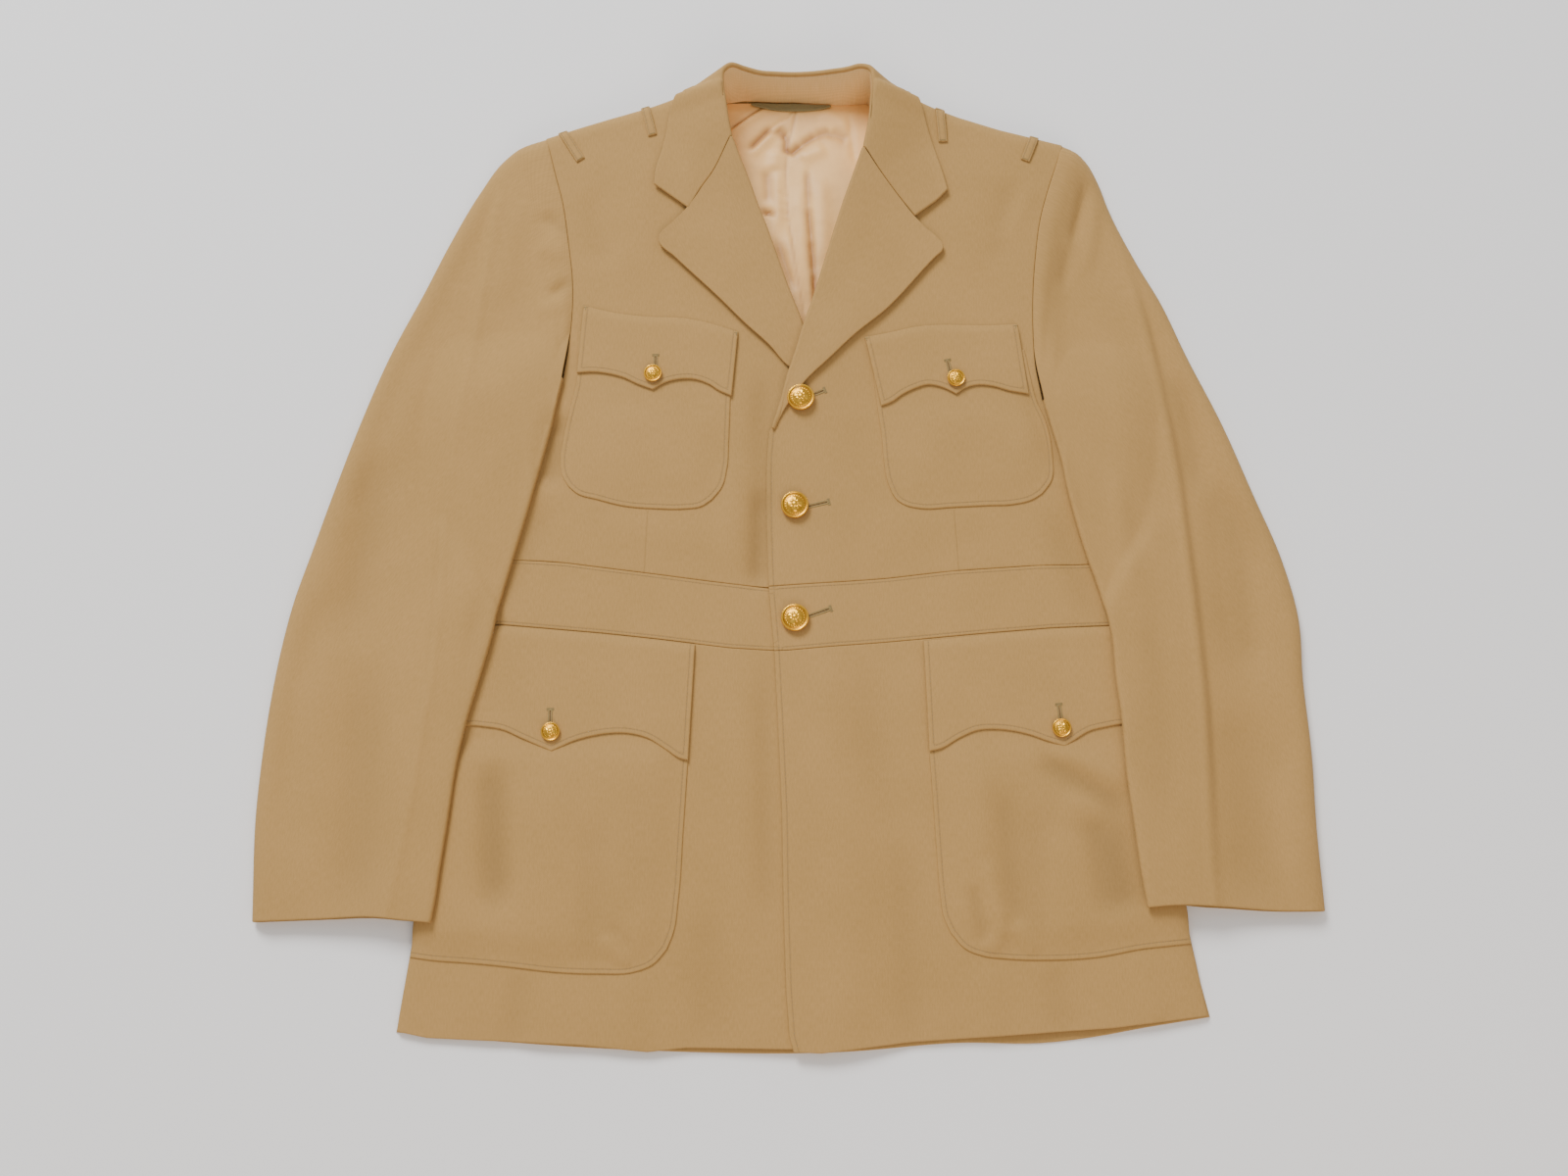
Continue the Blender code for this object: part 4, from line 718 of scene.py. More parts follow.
def sleeve(side, seam, outer, inner, cuff, hidden, pressed, creases, drop, grain):
    """A closed ring of points at each row from cuff to armhole: out to in across the upper layer,
    then back across the lower one. Each layer is a Coons patch in plan, lifted to its height with
    quarter rounds at the two folds. The upper one drops outside its pressed line."""
    v = shares(440, 3.6)[:, None]
    width = 140 + 70 * v[:, 0]
    span = abs(outer[-1][1] - outer[0][1])
    fold_line = curve(inner, v[:, 0])
    edge_in = np.abs(fold_line[:, 0] - side_x(side, np.minimum(fold_line[:, 1], 100)))
    layers = []
    for high in (seam, lambda s: chain(hidden, s, [0.62])):
        u = shares(175, 2.8, near=NEAR_FOLD, far=NEAR_FOLD)[None, :] + 0 * v
        if layers:       # the lower layer's columns are close together where it meets the body
            over = 6 + (edge_in[:, None] + 24 - 6) * np.linspace(0, 1, 19)[None, :]
            rim = np.array(NEAR_FOLD[:5])[None, :] + 0 * over[:, :1]
            away = np.concatenate([rim, over], 1)[:, ::-1]
            beyond = np.array(NEAR_FOLD[:6])[None, :] + 0 * over[:, :1]
            share = np.linspace(0, 1, 9)[None, 1:-1]
            between = NEAR_FOLD[5] + (width[:, None] - away[:, :1] - NEAR_FOLD[5]) * share
            u = np.concatenate([beyond, between, width[:, None] - away], 1) / width[:, None]
        xy = patch(cuff, high, outer, inner, u, v)
        x, y = xy[..., 0], xy[..., 1]
        below = body_below(side, x, y, *(LOWER_LIES if layers else UPPER_LIES))
        d_out, d_in = u * width[:, None], (1 - u) * width[:, None]
        middle = SLEEVE_WALL + below + FOLD_HALF
        if not layers:
            inner_top = below[:, -1:] + 1.6 * FOLD_HALF
            top = SLEEVE_RISE + (inner_top - SLEEVE_RISE) * (1 - ease((d_in - 28) / 90))
            top = np.maximum(top, below + 1.2 * FOLD_HALF) + SLEEVE_WALL
            seam_y = np.minimum(y[-1:], 335)
            seam_top = crown(x[-1:], seam_y) + 0.8 + 4.0 * np.exp(-(d_in[-1:] / 16) ** 2)
            near = np.exp(-(((1 - v) * span) / 34) ** 2)
            top = top * (1 - near) + seam_top * near
            away = ease(d_out / 26) * ease(d_in / 22) * ease((1 - v) * span / 16)
            line_x, line_y = np.array(pressed[::-1], float).T
            beyond = (1 if side == "left" else -1) * (x - np.interp(y, line_y, line_x))
            relief = (pressed_crease(xy, pressed) + folds(x, y, creases) * 1.6
                      - drop * ease(beyond / 9) * ease((y + 330) / 200))
            head = 1.6 * np.exp(-(((1 - v) * span - 12) / 9) ** 2) * ease(d_in / 60)
            z = middle + (top + (relief - 0.3) * away + head * ease(d_out / 20) - middle) * turn(
                np.minimum(d_out / 13, d_in / 6))
            z = np.maximum(z, middle)
        else:
            z = middle - FOLD_HALF * turn(np.minimum(d_out, d_in) / 6)
        layers.append(np.stack([x, y, z], -1))
    ring = np.concatenate([layers[0], layers[1][:, ::-1][:, 1:]], 1)
    if side == "left":
        ring = ring[:, ::-1]
    ring[:, -1] = ring[:, 0]
    # painted shade: the sleeve's colour is darker down in the troughs of its creases
    made = shell("sleeve_cloth_" + side, ring, SLEEVE_WALL, khaki, closed=True, grain=grain, round_over=1.0,
                 edge_share=0.6, shade=0.32 * hollows(ring[..., 0], ring[..., 1], creases, 2.2))
    return declare(made, "sleeve_" + side)


def hidden_seam(sign, back_armhole, front_armhole, seam):
    """Where the lower layer ends in plan: past the back's armhole, then just past the front's,
    with its ends at the ends of the seam."""
    back = [(x + sign * 4.0, y) for x, y in back_armhole[::-1]]
    front = [(x + sign * 0.1, y) for x, y in front_armhole]
    return [[seam[0]] + back[1:], [back[-1]] + front[1:-1] + [seam[-1]]]


sleeve("right", SEAM_RIGHT, OUTER_RIGHT, INNER_RIGHT, CUFF_RIGHT,
       hidden_seam(-1, BACK_ARMHOLE_RIGHT, ARMHOLE_RIGHT[0], SEAM_RIGHT), PRESSED_RIGHT,
       SLEEVE_FOLDS_RIGHT, 2.7, math.radians(-10))
sleeve("left", SEAM_LEFT, OUTER_LEFT, INNER_LEFT, CUFF_LEFT,
       hidden_seam(1, BACK_ARMHOLE_LEFT, ARMHOLE_LEFT[0], SEAM_LEFT), PRESSED_LEFT,
       SLEEVE_FOLDS_LEFT, 4.2, math.radians(10))


# Patch pockets and flaps
# Four patch pockets of single cloth, edge-stitched on, under flaps of double cloth whose lower
# edges are cut to a middle point. The flaps are sewn down along their tops.
POCKET_WALL = 1.1
FLAP_WALL = 1.4
POCKET_STITCH = 3.4
FLAP_STITCH = 3.6
OVER_FRONT = FRONT_WALL + LAY
OVER_POCKET = OVER_FRONT + POCKET_WALL + LAY
SIDE_INSET = 0.8
NEAR_SEAM = (0.0, 0.3, 0.9, 2.0, 4.0, 7.4, 11.4)    # grid lines this far from a side seam
sewn_rows = []           # (piece, path in plan) of every row of stitches, sewn further down


def inset_path(path, inset):
    """A path moved to its left by a distance, without the loops that corners leave: a moved
    point is kept if it is still that far from the whole path."""
    path = np.asarray(path, float)
    along = unit(np.gradient(path, axis=0))
    moved = path + inset * np.stack([-along[:, 1], along[:, 0]], -1)
    return moved[line_distance(moved[:, None], path)[:, 0] > 0.96 * abs(inset)]


def outline_path(parts, count):
    """Curves end to end as one path of even points."""
    return np.concatenate([curve(part, np.linspace(0, 1, count // len(parts)))[(0 if n == 0 else 1):]
                           for n, part in enumerate(parts)])


def patch_pocket(where, side, left, bottom, right, top, wrinkles, near=EDGE_STEPS, far=EDGE_STEPS,
                 sewn="both", fullness=0.8, mouth=112):
    """A Coons patch between the pocket's four edges, laid over the front. It stands off the front
    by a soft fullness towards its middle and by its own wrinkles, and its colour is darker in the
    wrinkles' troughs as painted shade. Where one side is caught in the side seam, only its other
    side and its bottom are sewn on."""
    wide = np.linalg.norm(np.array(top[0]) - top[-1])
    xy = patch(bottom, top, left, right, shares(wide, 2.6, near=near, far=far)[None, :],
               shares(abs(left[0][1] - left[-1][1]), 2.6)[:, None])
    x, y = xy[..., 0], xy[..., 1]
    outline = outline_path({"both": [left[::-1], bottom, right], "right": [bottom, right],
                            "left": [left[::-1], bottom]}[sewn], 320)
    edge = line_distance(xy, outline)
    below_mouth = (mouth - y) / 24
    full = fullness * ease((edge - POCKET_STITCH) / 24) * (0.25 + 0.75 * ease(below_mouth))
    wrinkled = folds(x, y, wrinkles) * ease(edge / 9) * ease(below_mouth + 0.2)
    points = moved_out(x, y, FRONTS[side], OVER_FRONT + (full + np.maximum(wrinkled, -0.95 * full - 0.03)))
    # painted shade: the pocket's colour is darker down in its wrinkles' troughs
    made = shell(f"{where}_pocket_cloth_{side}", points, POCKET_WALL, khaki, round_over=0.9,
                 stitch=edge - POCKET_STITCH, shade=0.85 * hollows(x, y, wrinkles, 3.6) * ease(edge / 9))
    sewn_rows.append((made, inset_path(outline, POCKET_STITCH)))
    return declare(made, f"{where}_pocket_{side}")


def pocket_flap(where, side, top, left_low, right_low, corner, near=EDGE_STEPS, far=EDGE_STEPS,
                sewn="both"):
    """A Coons patch between the flap's straight top and its pointed lower edge, over the pocket:
    it lifts a little towards its free edge and is pressed down at the seam along its top."""
    wide = abs(top[-1][0] - top[0][0])
    half = shares(wide / 2, 2.4, far=(0.0, 0.5))
    u = np.concatenate([half * corner, (corner + (1 - half[::-1]) * (1 - corner))[1:]])
    u = np.concatenate([u, np.array(near) / wide, 1 - np.array(far) / wide])
    u = np.unique(np.round(u, 6))[None, :]
    v = shares(abs(top[0][1] - left_low[0][1]), 2.4)[:, None]
    xy = patch(lambda s: chain([left_low, right_low], s, [corner]), top, [left_low[0], top[0]],
               [right_low[-1], top[-1]], u, v)
    x, y = xy[..., 0], xy[..., 1]
    outline = outline_path({"both": [[top[0], left_low[0]], left_low, right_low, [right_low[-1], top[-1]]],
                            "right": [left_low, right_low, [right_low[-1], top[-1]]],
                            "left": [[top[0], left_low[0]], left_low, right_low]}[sewn], 400)
    edge = line_distance(xy, outline)
    below_top = curve(top, u[0])[None, :, 1] - y
    sunk = 1 - ease(below_top / 7)
    bow = 0.3 * np.sin(math.pi * np.clip(u, 0, 1)) * (1 - v)
    lift = OVER_POCKET + 0.4 + 0.3 * (1 - v) + bow - (POCKET_WALL + 0.35) * sunk
    made = shell(f"{where}_flap_cloth_{side}", moved_out(x, y, FRONTS[side], lift), FLAP_WALL, khaki,
                 round_over=1.2, stitch=edge - FLAP_STITCH)
    sewn_rows.append((made, inset_path(outline, FLAP_STITCH)))
    return declare(made, f"{where}_flap_{side}")


def by_side(side, ys):
    """Points just inside a side seam."""
    inset = SIDE_INSET if side == "right" else -SIDE_INSET
    return [(float(side_x(side, y)) + inset, y) for y in ys]


patch_pocket("chest", "right",
             [(-176, 37), (-181, 46), (-183, 60), (-181, 79), (-177, 103), (-173, 122), (-172, 170)],
             [(-176, 37), (-169, 31), (-153, 26), (-130, 20), (-106, 18), (-83, 18), (-70, 20), (-61, 26)],
             [(-61, 26), (-53, 36), (-49, 52), (-48, 75), (-47, 110), (-46, 152)],
             [(-172, 170), (-145, 166), (-110, 162), (-80, 158), (-46, 152)],
             [(-150, 60, -120, 100, 16, 0.5), (-80, 40, -70, 100, 14, 0.4)])
patch_pocket("chest", "left",
             [(83, 31), (79, 42), (77, 55), (75, 81), (72, 103), (68, 143)],
             [(83, 31), (86, 26), (93, 21), (105, 18), (130, 19), (159, 21), (179, 22), (195, 26), (203, 31)],
             [(203, 31), (211, 42), (213, 63), (209, 92), (202, 110), (193, 154)],
             [(68, 143), (100, 151), (130, 155), (160, 154), (193, 154)],
             [(110, 50, 140, 100, 18, 0.5), (180, 40, 190, 90, 12, 0.5)])
chest_flap_right = pocket_flap(
    "chest", "right", [(-168, 192), (-145, 186), (-115, 182), (-86, 181), (-66, 177), (-41, 169)],
    [(-172, 133), (-158, 133.5), (-147, 132), (-133, 128), (-123, 123), (-110, 118)],
    [(-110, 118), (-100, 124), (-88, 127), (-77, 127), (-65, 123), (-56, 117), (-46, 112.5)], 0.5)
chest_flap_left = pocket_flap(
    "chest", "left", [(62, 163), (84, 168), (104, 173), (124, 175), (144, 175), (164, 175), (188, 176)],
    [(75, 104), (83, 107), (93, 114), (103, 119), (113, 122), (121, 121), (129, 118), (136, 114)],
    [(136, 114), (143, 119), (153, 122), (166, 121), (180, 117), (195, 115)], 0.5)
patch_pocket("lower", "right",
             by_side("right", (-331, -290, -240, -190, -145, -108)),
             [*by_side("right", (-331,)), (-267, -333), (-240, -335), (-208, -338), (-172, -342),
              (-142, -343), (-116, -342), (-101, -336), (-91, -325)],
             [(-91, -325), (-86, -312), (-83, -290), (-80, -237), (-78, -200), (-76, -160), (-75, -113)],
             [*by_side("right", (-108,)), (-200, -103), (-140, -106), (-75, -113)],
             [(-229, -190, -220, -292, 15, -3.2), (-246, -180, -246, -330, 14, 1.6),
              (-188, -190, -184, -330, 22, 1.6), (-150, -230, -150, -335, 18, -1.1),
              (-140, -318, -118, -338, 5, 1.3), (-134, -308, -116, -322, 5, -0.8),
              (-110, -200, -112, -300, 16, -0.7)],
             near=NEAR_SEAM, sewn="right", fullness=2.6, mouth=-164)
patch_pocket("lower", "left",
             [(121, -313), (116, -301), (114, -286), (112, -254), (110, -212), (108, -175), (106, -111)],
             [(121, -313), (132, -325), (145, -330), (161, -332), (195, -333), (229, -331), (264, -325),
              *by_side("left", (-321,))],
             by_side("left", (-321, -280, -235, -190, -145, -106)),
             [(106, -111), (150, -106), (200, -101), *by_side("left", (-106,))],
             [(146, -190, 146, -262, 11, 1.8), (149, -262, 160, -308, 7, 2.6), (160, -308, 149, -331, 6, 2.0),
              (139, -280, 146, -318, 6, -1.8), (163, -210, 170, -305, 10, -1.8),
              (170, -306, 184, -328, 6, 1.6), (205, -174, 256, -200, 8, 2.2), (196, -184, 256, -220, 9, -2.8),
              (214, -212, 250, -238, 9, 1.2), (238, -224, 250, -296, 19, -3.4),
              (212, -240, 206, -325, 18, 1.2), (186, -220, 190, -320, 16, -1.0)],
             far=NEAR_SEAM, sewn="left", fullness=2.6, mouth=-164)
lower_flap_right = pocket_flap(
    "lower", "right",
    [*by_side("right", (-75.8,)), (-230, -77), (-195, -80), (-149, -84.2), (-103, -89.2), (-73, -92.6)],
    [*by_side("right", (-160,)), (-248, -157), (-233, -158), (-221, -160), (-205, -167), (-189, -174),
     (-182, -177)],
    [(-182, -177), (-176, -174), (-165, -169), (-151, -165), (-138, -163), (-124, -163), (-108, -167),
     (-95, -175), (-82, -183), (-77, -184)], 0.43, near=NEAR_SEAM, sewn="right")
lower_flap_left = pocket_flap(
    "lower", "left",
    [(105.5, -89.6), (132, -87), (158, -84.4), (206, -80.2), (240, -78.2), *by_side("left", (-77.6,))],
    [(108, -177), (117, -175), (131, -167), (145, -161), (160, -160), (171, -161), (185, -164), (199, -169),
     (212, -173)],
    [(212, -173), (220, -168), (232, -161), (244, -158), (256, -156), *by_side("left", (-158,))],
    0.62, far=NEAR_SEAM, sewn="left")


# Lapels
# The upper part of each front is faced with the same cloth and turned out at its roll line, so
# that it lies over the chest. The fold is soft, and the free edge stands off a little.
FOLD_INNER = (LAPEL_STACK - 2 * LAPEL_WALL) / 2
FOLD_STEPS = 11


def fold_points(centre, outward, tilt, inner):
    """Half circle inside a turned fold, from the layer below round to the layer on top. tilt
    turns the fold's open side from sideways (0) to downwards (a quarter turn)."""
    flat = np.concatenate([outward, 0 * outward[:, :1]], -1)
    up = np.array([0.0, 0.0, 1.0])
    mouth = flat * np.cos(tilt)[:, None] - up * np.sin(tilt)[:, None]
    across = flat * np.sin(tilt)[:, None] + up * np.cos(tilt)[:, None]
    angle = np.linspace(-math.pi / 2, math.pi / 2, FOLD_STEPS)[None, :, None]
    return centre[:, None] + inner * (across[:, None] * np.sin(angle) - mouth[:, None] * np.cos(angle))


def lapel(side, roll, low, high, lower_edge, gorge, creases, break_sink):
    """A Coons patch in plan between the roll line, the lower edge and the gorge seam, over the
    front by the gap, a lift that grows to the free edge, and soft folds. Where it breaks, at its
    lower point, break_sink lets it die away into the front."""
    sign = -1 if side == "right" else 1
    v = shares(215, 2.8)
    heights = np.linspace(low, high, 12)
    line = curve(np.stack([np.interp(heights, roll["y"], roll["x"]), heights,
                           np.interp(heights, roll["y"], roll["z"])], -1), v)
    along = unit(np.gradient(line[:, :2], v, axis=0))
    outward = sign * np.stack([along[:, 1], -along[:, 0]], -1)
    inner = (0.04 + (FOLD_INNER - 0.04) * ease(v / 0.1))[:, None]
    radius = inner + LAPEL_WALL
    centre = line.copy()
    centre[:, :2] += outward * radius
    centre[:, 2] -= radius[:, 0]
    fold = fold_points(centre, outward, 0 * v, inner[:, None])
    start_xy = centre[:, :2]
    u = np.concatenate([[0, 0.012], np.linspace(0.03, 0.985, 38), [0.992, 0.997, 1.0]])[None, :]
    xy = patch([tuple(start_xy[0]), lower_edge[0]], [tuple(start_xy[-1])] + gorge, start_xy, lower_edge,
               u, v[:, None])
    x, y = xy[..., 0], xy[..., 1]
    lift = 0.95 + 1.7 * ease(u) * ease(v[:, None] / 0.25) + folds(x, y, creases) * ease(u / 0.3)
    lift = lift - 1.5 * break_sink * (1 - ease(v[:, None] / 0.12)) * ease(u / 0.3)
    top = moved_out(x, y, FRONTS[side], FRONT_WALL)
    top[..., 2] += lift
    points = np.concatenate([fold, top[:, 1:]], 1)
    if side == "right":
        points = points[:, ::-1]
    made = shell("lapel_cloth_" + side, points, LAPEL_WALL, khaki, round_over=0.8, edge_share=0.7,
                 grain=math.radians(-18 * sign))
    return declare(made, "lapel_" + side)


lapel("right", ROLL_RIGHT, 128, 337.3,
      [(14, 131), (1, 138), (-16, 157), (-35, 175), (-58, 199), (-94, 234), (-107, 247), (-107, 253),
       (-101, 260), (-90, 270), (-83, 276)], [(-63, 307), (-74, 292), (-83, 276)],
      [(-40, 215, -75, 262, 16, 0.5), (-20, 180, -40, 250, 14, -0.4)], 0.0)
lapel("left", ROLL_LEFT, 85, 327.2,
      [(-11.4, 85.4), (-8, 91), (-4, 99), (1, 107), (12, 122), (33, 143), (56, 166), (77, 184), (122, 234),
       (128, 240), (128, 244), (123, 251), (113, 260), (105, 269)], [(76, 307.5), (88, 291), (105, 269)],
      [(60, 205, 95, 262, 16, 0.5), (40, 180, 60, 250, 14, -0.4)], 1.0)


# Collar
# The fall is turned down from its fold all round the neck, and meets each lapel at the gorge
# seam and the notch. Behind the neck it hangs down outside the stand.
COLLAR_WALL = 1.8
COLLAR_INNER = 0.5       # radius inside the collar's fold
COLLAR_TILT = columns("v tilt", [(0, 0.0), (0.2, 0.15), (0.3, 0.9), (0.37, 1.35), (0.63, 1.35), (0.7, 0.9),
                                 (0.8, 0.15), (1, 0.0)])
COLLAR_FOLD = [(-46.5, 337.2, 37.9), (-49.5, 353, 40.4), (-52, 370, 42.4), (-54, 384, 44), (-53.5, 394, 44.4),
               (-48, 399.5, 43.6), (-38, 399, 40), (-26, 397.5, 37), (-12, 397.5, 35), (5, 397.5, 34),
               (24, 398, 35), (38, 398.5, 37.4), (51, 398.5, 40.6), (61, 399, 43.4), (68, 396, 44.6),
               (70, 386, 44.4), (68.5, 370, 43.2), (67, 353, 41.4), (64.2, 338, 39.6), (62, 327, 37.8)]
COLLAR_EDGE = [(-112, 298, 26.6), (-111, 310, 27), (-106.5, 327, 27), (-102.5, 344, 27), (-99.5, 362, 26),
               (-95, 376, 25), (-86, 388, 18), (-74, 396, 9), (-58, 401, 4), (-36, 402.5, 2.4),
               (-10, 403, 2.2), (5, 403, 2.2), (22, 403, 2.2), (48, 402.5, 2.4), (72, 401, 4),
               (88, 395, 9), (100, 387, 18), (109, 375, 25), (113.5, 362, 26), (117, 348, 27),
               (121.5, 333, 27), (128, 312, 27), (133, 293, 26.6)]
# Each end of the collar in plan: along the gorge seam, then along the notch.
GORGE_RIGHT = ([(-63.1, 307.4), (-73.9, 292.4), (-82.9, 276.5)],
               [(-82.9, 276.5), (-86, 279.0), (-98, 288), (-112, 298)])
GORGE_LEFT = ([(76.3, 307.9), (88.2, 291.4), (105.1, 269.5)],
              [(105.1, 269.5), (115, 277.0), (124, 284), (133, 293)])


def clear_height(x, y, offset):
    """Height at a normal distance over whichever front lies below."""
    over = [height(x, y) + offset * np.minimum(slopes(x, y, height)[2], 1.6)
            for height in (right_front, left_front)]
    return np.where(x < 5, *over)


def softened(z, times):
    """Averages each point of a grid with its neighbours, a number of times."""
    for _ in range(times):
        padded = np.pad(z, 1, mode="edge")
        z = (padded[:-2, 1:-1] + padded[2:, 1:-1] + padded[1:-1, :-2] + padded[1:-1, 2:] + 2 * z) / 6
    return z


collar_v = np.concatenate([np.linspace(0, 0.004, 3), np.linspace(0.01, 0.99, 190), np.linspace(0.996, 1, 3)])
collar_line = curve(COLLAR_FOLD, collar_v)
collar_along = unit(np.gradient(collar_line[:, :2], collar_v, axis=0))
collar_outward = np.stack([-collar_along[:, 1], collar_along[:, 0]], -1)
collar_tilt = np.interp(collar_v, COLLAR_TILT["v"], COLLAR_TILT["tilt"])
collar_centre = collar_line.copy()
collar_centre[:, :2] += collar_outward * ((COLLAR_INNER + COLLAR_WALL) * np.cos(collar_tilt)[:, None])
collar_centre[:, 2] -= COLLAR_INNER + COLLAR_WALL
collar_fold = fold_points(collar_centre, collar_outward, collar_tilt, COLLAR_INNER)
collar_start = collar_fold[:, -1]


def with_height(parts):
    """A collar end's curves in plan, lifted over the front by as much as the lapel beside it."""
    done = []
    for part, lifts in zip(parts, ((0.95, 1.0, 1.8, 2.6), (2.6, 2.5, 2.2, 1.8))):
        x, y = np.array(part, float).T
        done.append(np.stack([x, y, clear_height(x, y, FRONT_WALL) + np.array(lifts)], -1))
    return done


NOTCH_SHARE = 0.66       # share of each end at which the gorge seam ends and the notch begins
collar_u = np.concatenate([[0, 0.015], np.linspace(0.04, NOTCH_SHARE, 22), np.linspace(0.68, 0.985, 13),
                           [0.993, 1.0]])
edge_line = curve(COLLAR_EDGE, collar_v)
fall = collar_start[:, None] * (1 - collar_u[None, :, None]) + edge_line[:, None] * collar_u[None, :, None]
for (gorge, notch), first, last, share in (
        (GORGE_RIGHT, collar_start[0], COLLAR_EDGE[0], collar_v),
        (GORGE_LEFT, collar_start[-1], COLLAR_EDGE[-1], 1 - collar_v)):
    end = with_height([[tuple(first[:2])] + gorge, notch])
    end[0][0] = first
    end[1][-1] = last
    shape = chain(end, collar_u, [NOTCH_SHARE])
    straight = shape[:1] * (1 - collar_u[:, None]) + shape[-1:] * collar_u[:, None]
    near = np.clip(1 - share / 0.2, 0, 1) ** 2
    fall = fall + near[:, None, None] * (shape - straight)[None]
shoulder_y = shoulder_line(fall[..., 0])
near_line = 1.4 * ease((fall[..., 1] - shoulder_y + 24) / 12)
low = clear_height(fall[..., 0], np.minimum(fall[..., 1], shoulder_y - 2),
                   FRONT_WALL + LAY + 1.0 + near_line)
raised = np.where(fall[..., 1] < shoulder_y + 2.5, np.maximum(fall[..., 2], low), fall[..., 2])
fall[..., 2] = fall[..., 2] + softened(raised - fall[..., 2], 3)
collar_points = np.concatenate([collar_fold, fall[:, 1:]], 1)
declare(shell("collar_cloth", collar_points[:, ::-1], COLLAR_WALL, khaki, round_over=0.8, edge_share=0.7),
        "collar")


# Collar stand
# The inner side of the collar behind the neck, of the same cloth, from the neck seam up to the
# fold. It leans back, and its ends turn forward round the neck. Its khaki is painted lighter than
# the rest, as painted light on a side that faces away from the key light.
STAND_UNDER_LAPEL = 12.0      # how far its ends run on below the lapels
stand_band = (collar_v > 0.015) & (collar_v < 0.985)
stand_top = collar_fold[:, 0][stand_band]
stand_ends = [end + (end - before) * STAND_UNDER_LAPEL / np.linalg.norm(end - before)
              for end, before in ((stand_top[0], stand_top[4]), (stand_top[-1], stand_top[-5]))]
stand_top = np.concatenate([stand_ends[:1], stand_top, stand_ends[1:]])
stand_side = ease((392 - stand_top[:, 1]) / 8)
stand_top = stand_top + np.stack([0 * stand_side, -0.3 * (1 - stand_side), -0.6 - 1.1 * stand_side], -1)
stand_x = stand_top[:, 0] * (1 - 0.035 * (1 - stand_side))
stand_back = np.interp(stand_x, [-50, -38, -15, 5, 25, 45, 66], [389, 391, 390, 389.5, 388.5, 386.5, 388])
stand_y = stand_back + (np.minimum(stand_top[:, 1] - 1, stand_back) - stand_back) * stand_side
stand_foot = np.stack([stand_x, stand_y, 3.4 + 5.0 * ease((382 - stand_top[:, 1]) / 14)], -1)
stand_steps = np.linspace(0, 1, 130)
stand_rows = shares(34, 1.6)[:, None, None]
stand_points = (curve(stand_foot, stand_steps)[None] * (1 - stand_rows)
                + curve(stand_top, stand_steps)[None] * stand_rows
                + np.array([0, -2.0, 0]) * np.sin(math.pi * stand_rows))
stand_khaki_painted_light = worsted("khaki_worsted_stand_painted_light", "#E2BC7C", "#F0CC92", 0.0008)    # painted light: paler than the khaki, to brighten the stand
declare(shell("collar_stand_cloth", stand_points, COLLAR_WALL, stand_khaki_painted_light), "collar_stand")


# Back lining
# Peach satin over the whole inside of the back, seen inside the neck: joined down the middle,
# loose, and crushed into soft folds.
LINING_WALL = 1.0
LINING_FOOT = 128        # Y of its lower edge
LINING_LONG = 260
LINING_ENDS = columns("y low high", [(128, -84, 92), (300, -90, 104), (360, -77, 88), (388, -53, 69)])
LINING_SEAM = columns("y x", [
    (128, 16), (182, 14), (215, 9.0), (236, 5.5), (262, 2.2), (282, -0.3), (300, -1.2), (320, -2.2),
    (336, -1.2), (350, 0.9), (360, 3.4), (380, 6.6), (386, 6.6)])
LINING_FOLDS = [         # rows as in the fronts' folds
    (-20, 384, -50, 361, 1.5, -1.5), (-22, 380, -50, 357, 3.0, 1.0), (4, 379, -15, 362, 1.6, -0.9),
    (-15, 363, -33, 343, 2.6, -1.7), (-12, 357, -30, 338, 3.6, 1.0), (-10, 362, -2, 355, 4.0, -1.5),
    (-2, 356, -3, 338, 2.4, -1.6), (-10, 340, -12, 324, 6.0, 1.2), (1, 337, 11, 346, 3.4, -1.9),
    (11, 346, 24, 355, 3.6, -1.5), (24, 355, 36, 359, 4.4, -1.3), (36, 358, 50, 351, 5.0, -1.1),
    (12, 333, 30, 342, 6.0, 1.5), (16, 322, 17, 286, 2.4, -1.2), (17, 286, 19, 258, 2.6, -1.7),
    (19, 258, 21, 228, 2.8, -2.0), (21, 228, 23, 196, 2.4, -2.2), (27, 310, 30, 240, 7.0, 1.4),
    (8, 300, 14, 232, 5.0, 0.9), (-19, 322, -17, 294, 4.0, -1.1), (-16, 286, -18, 280, 4.4, -2.0),
    (-9, 320, -8, 270, 3.6, 1.0), (-10, 258, 4, 214, 3.4, -1.2), (0, 262, 12, 200, 3.0, 0.9),
    (-7, 302, -2, 296, 0.9, -0.9), (-6, 292, -1.6, 287, 0.9, -0.8), (-5, 284, -1.2, 279, 0.8, -0.8),
    (-4, 277, 0, 272, 0.9, -0.6), (30, 378, 52, 364, 6.0, 0.7), (52, 372, 57, 330, 3.0, -0.8)]


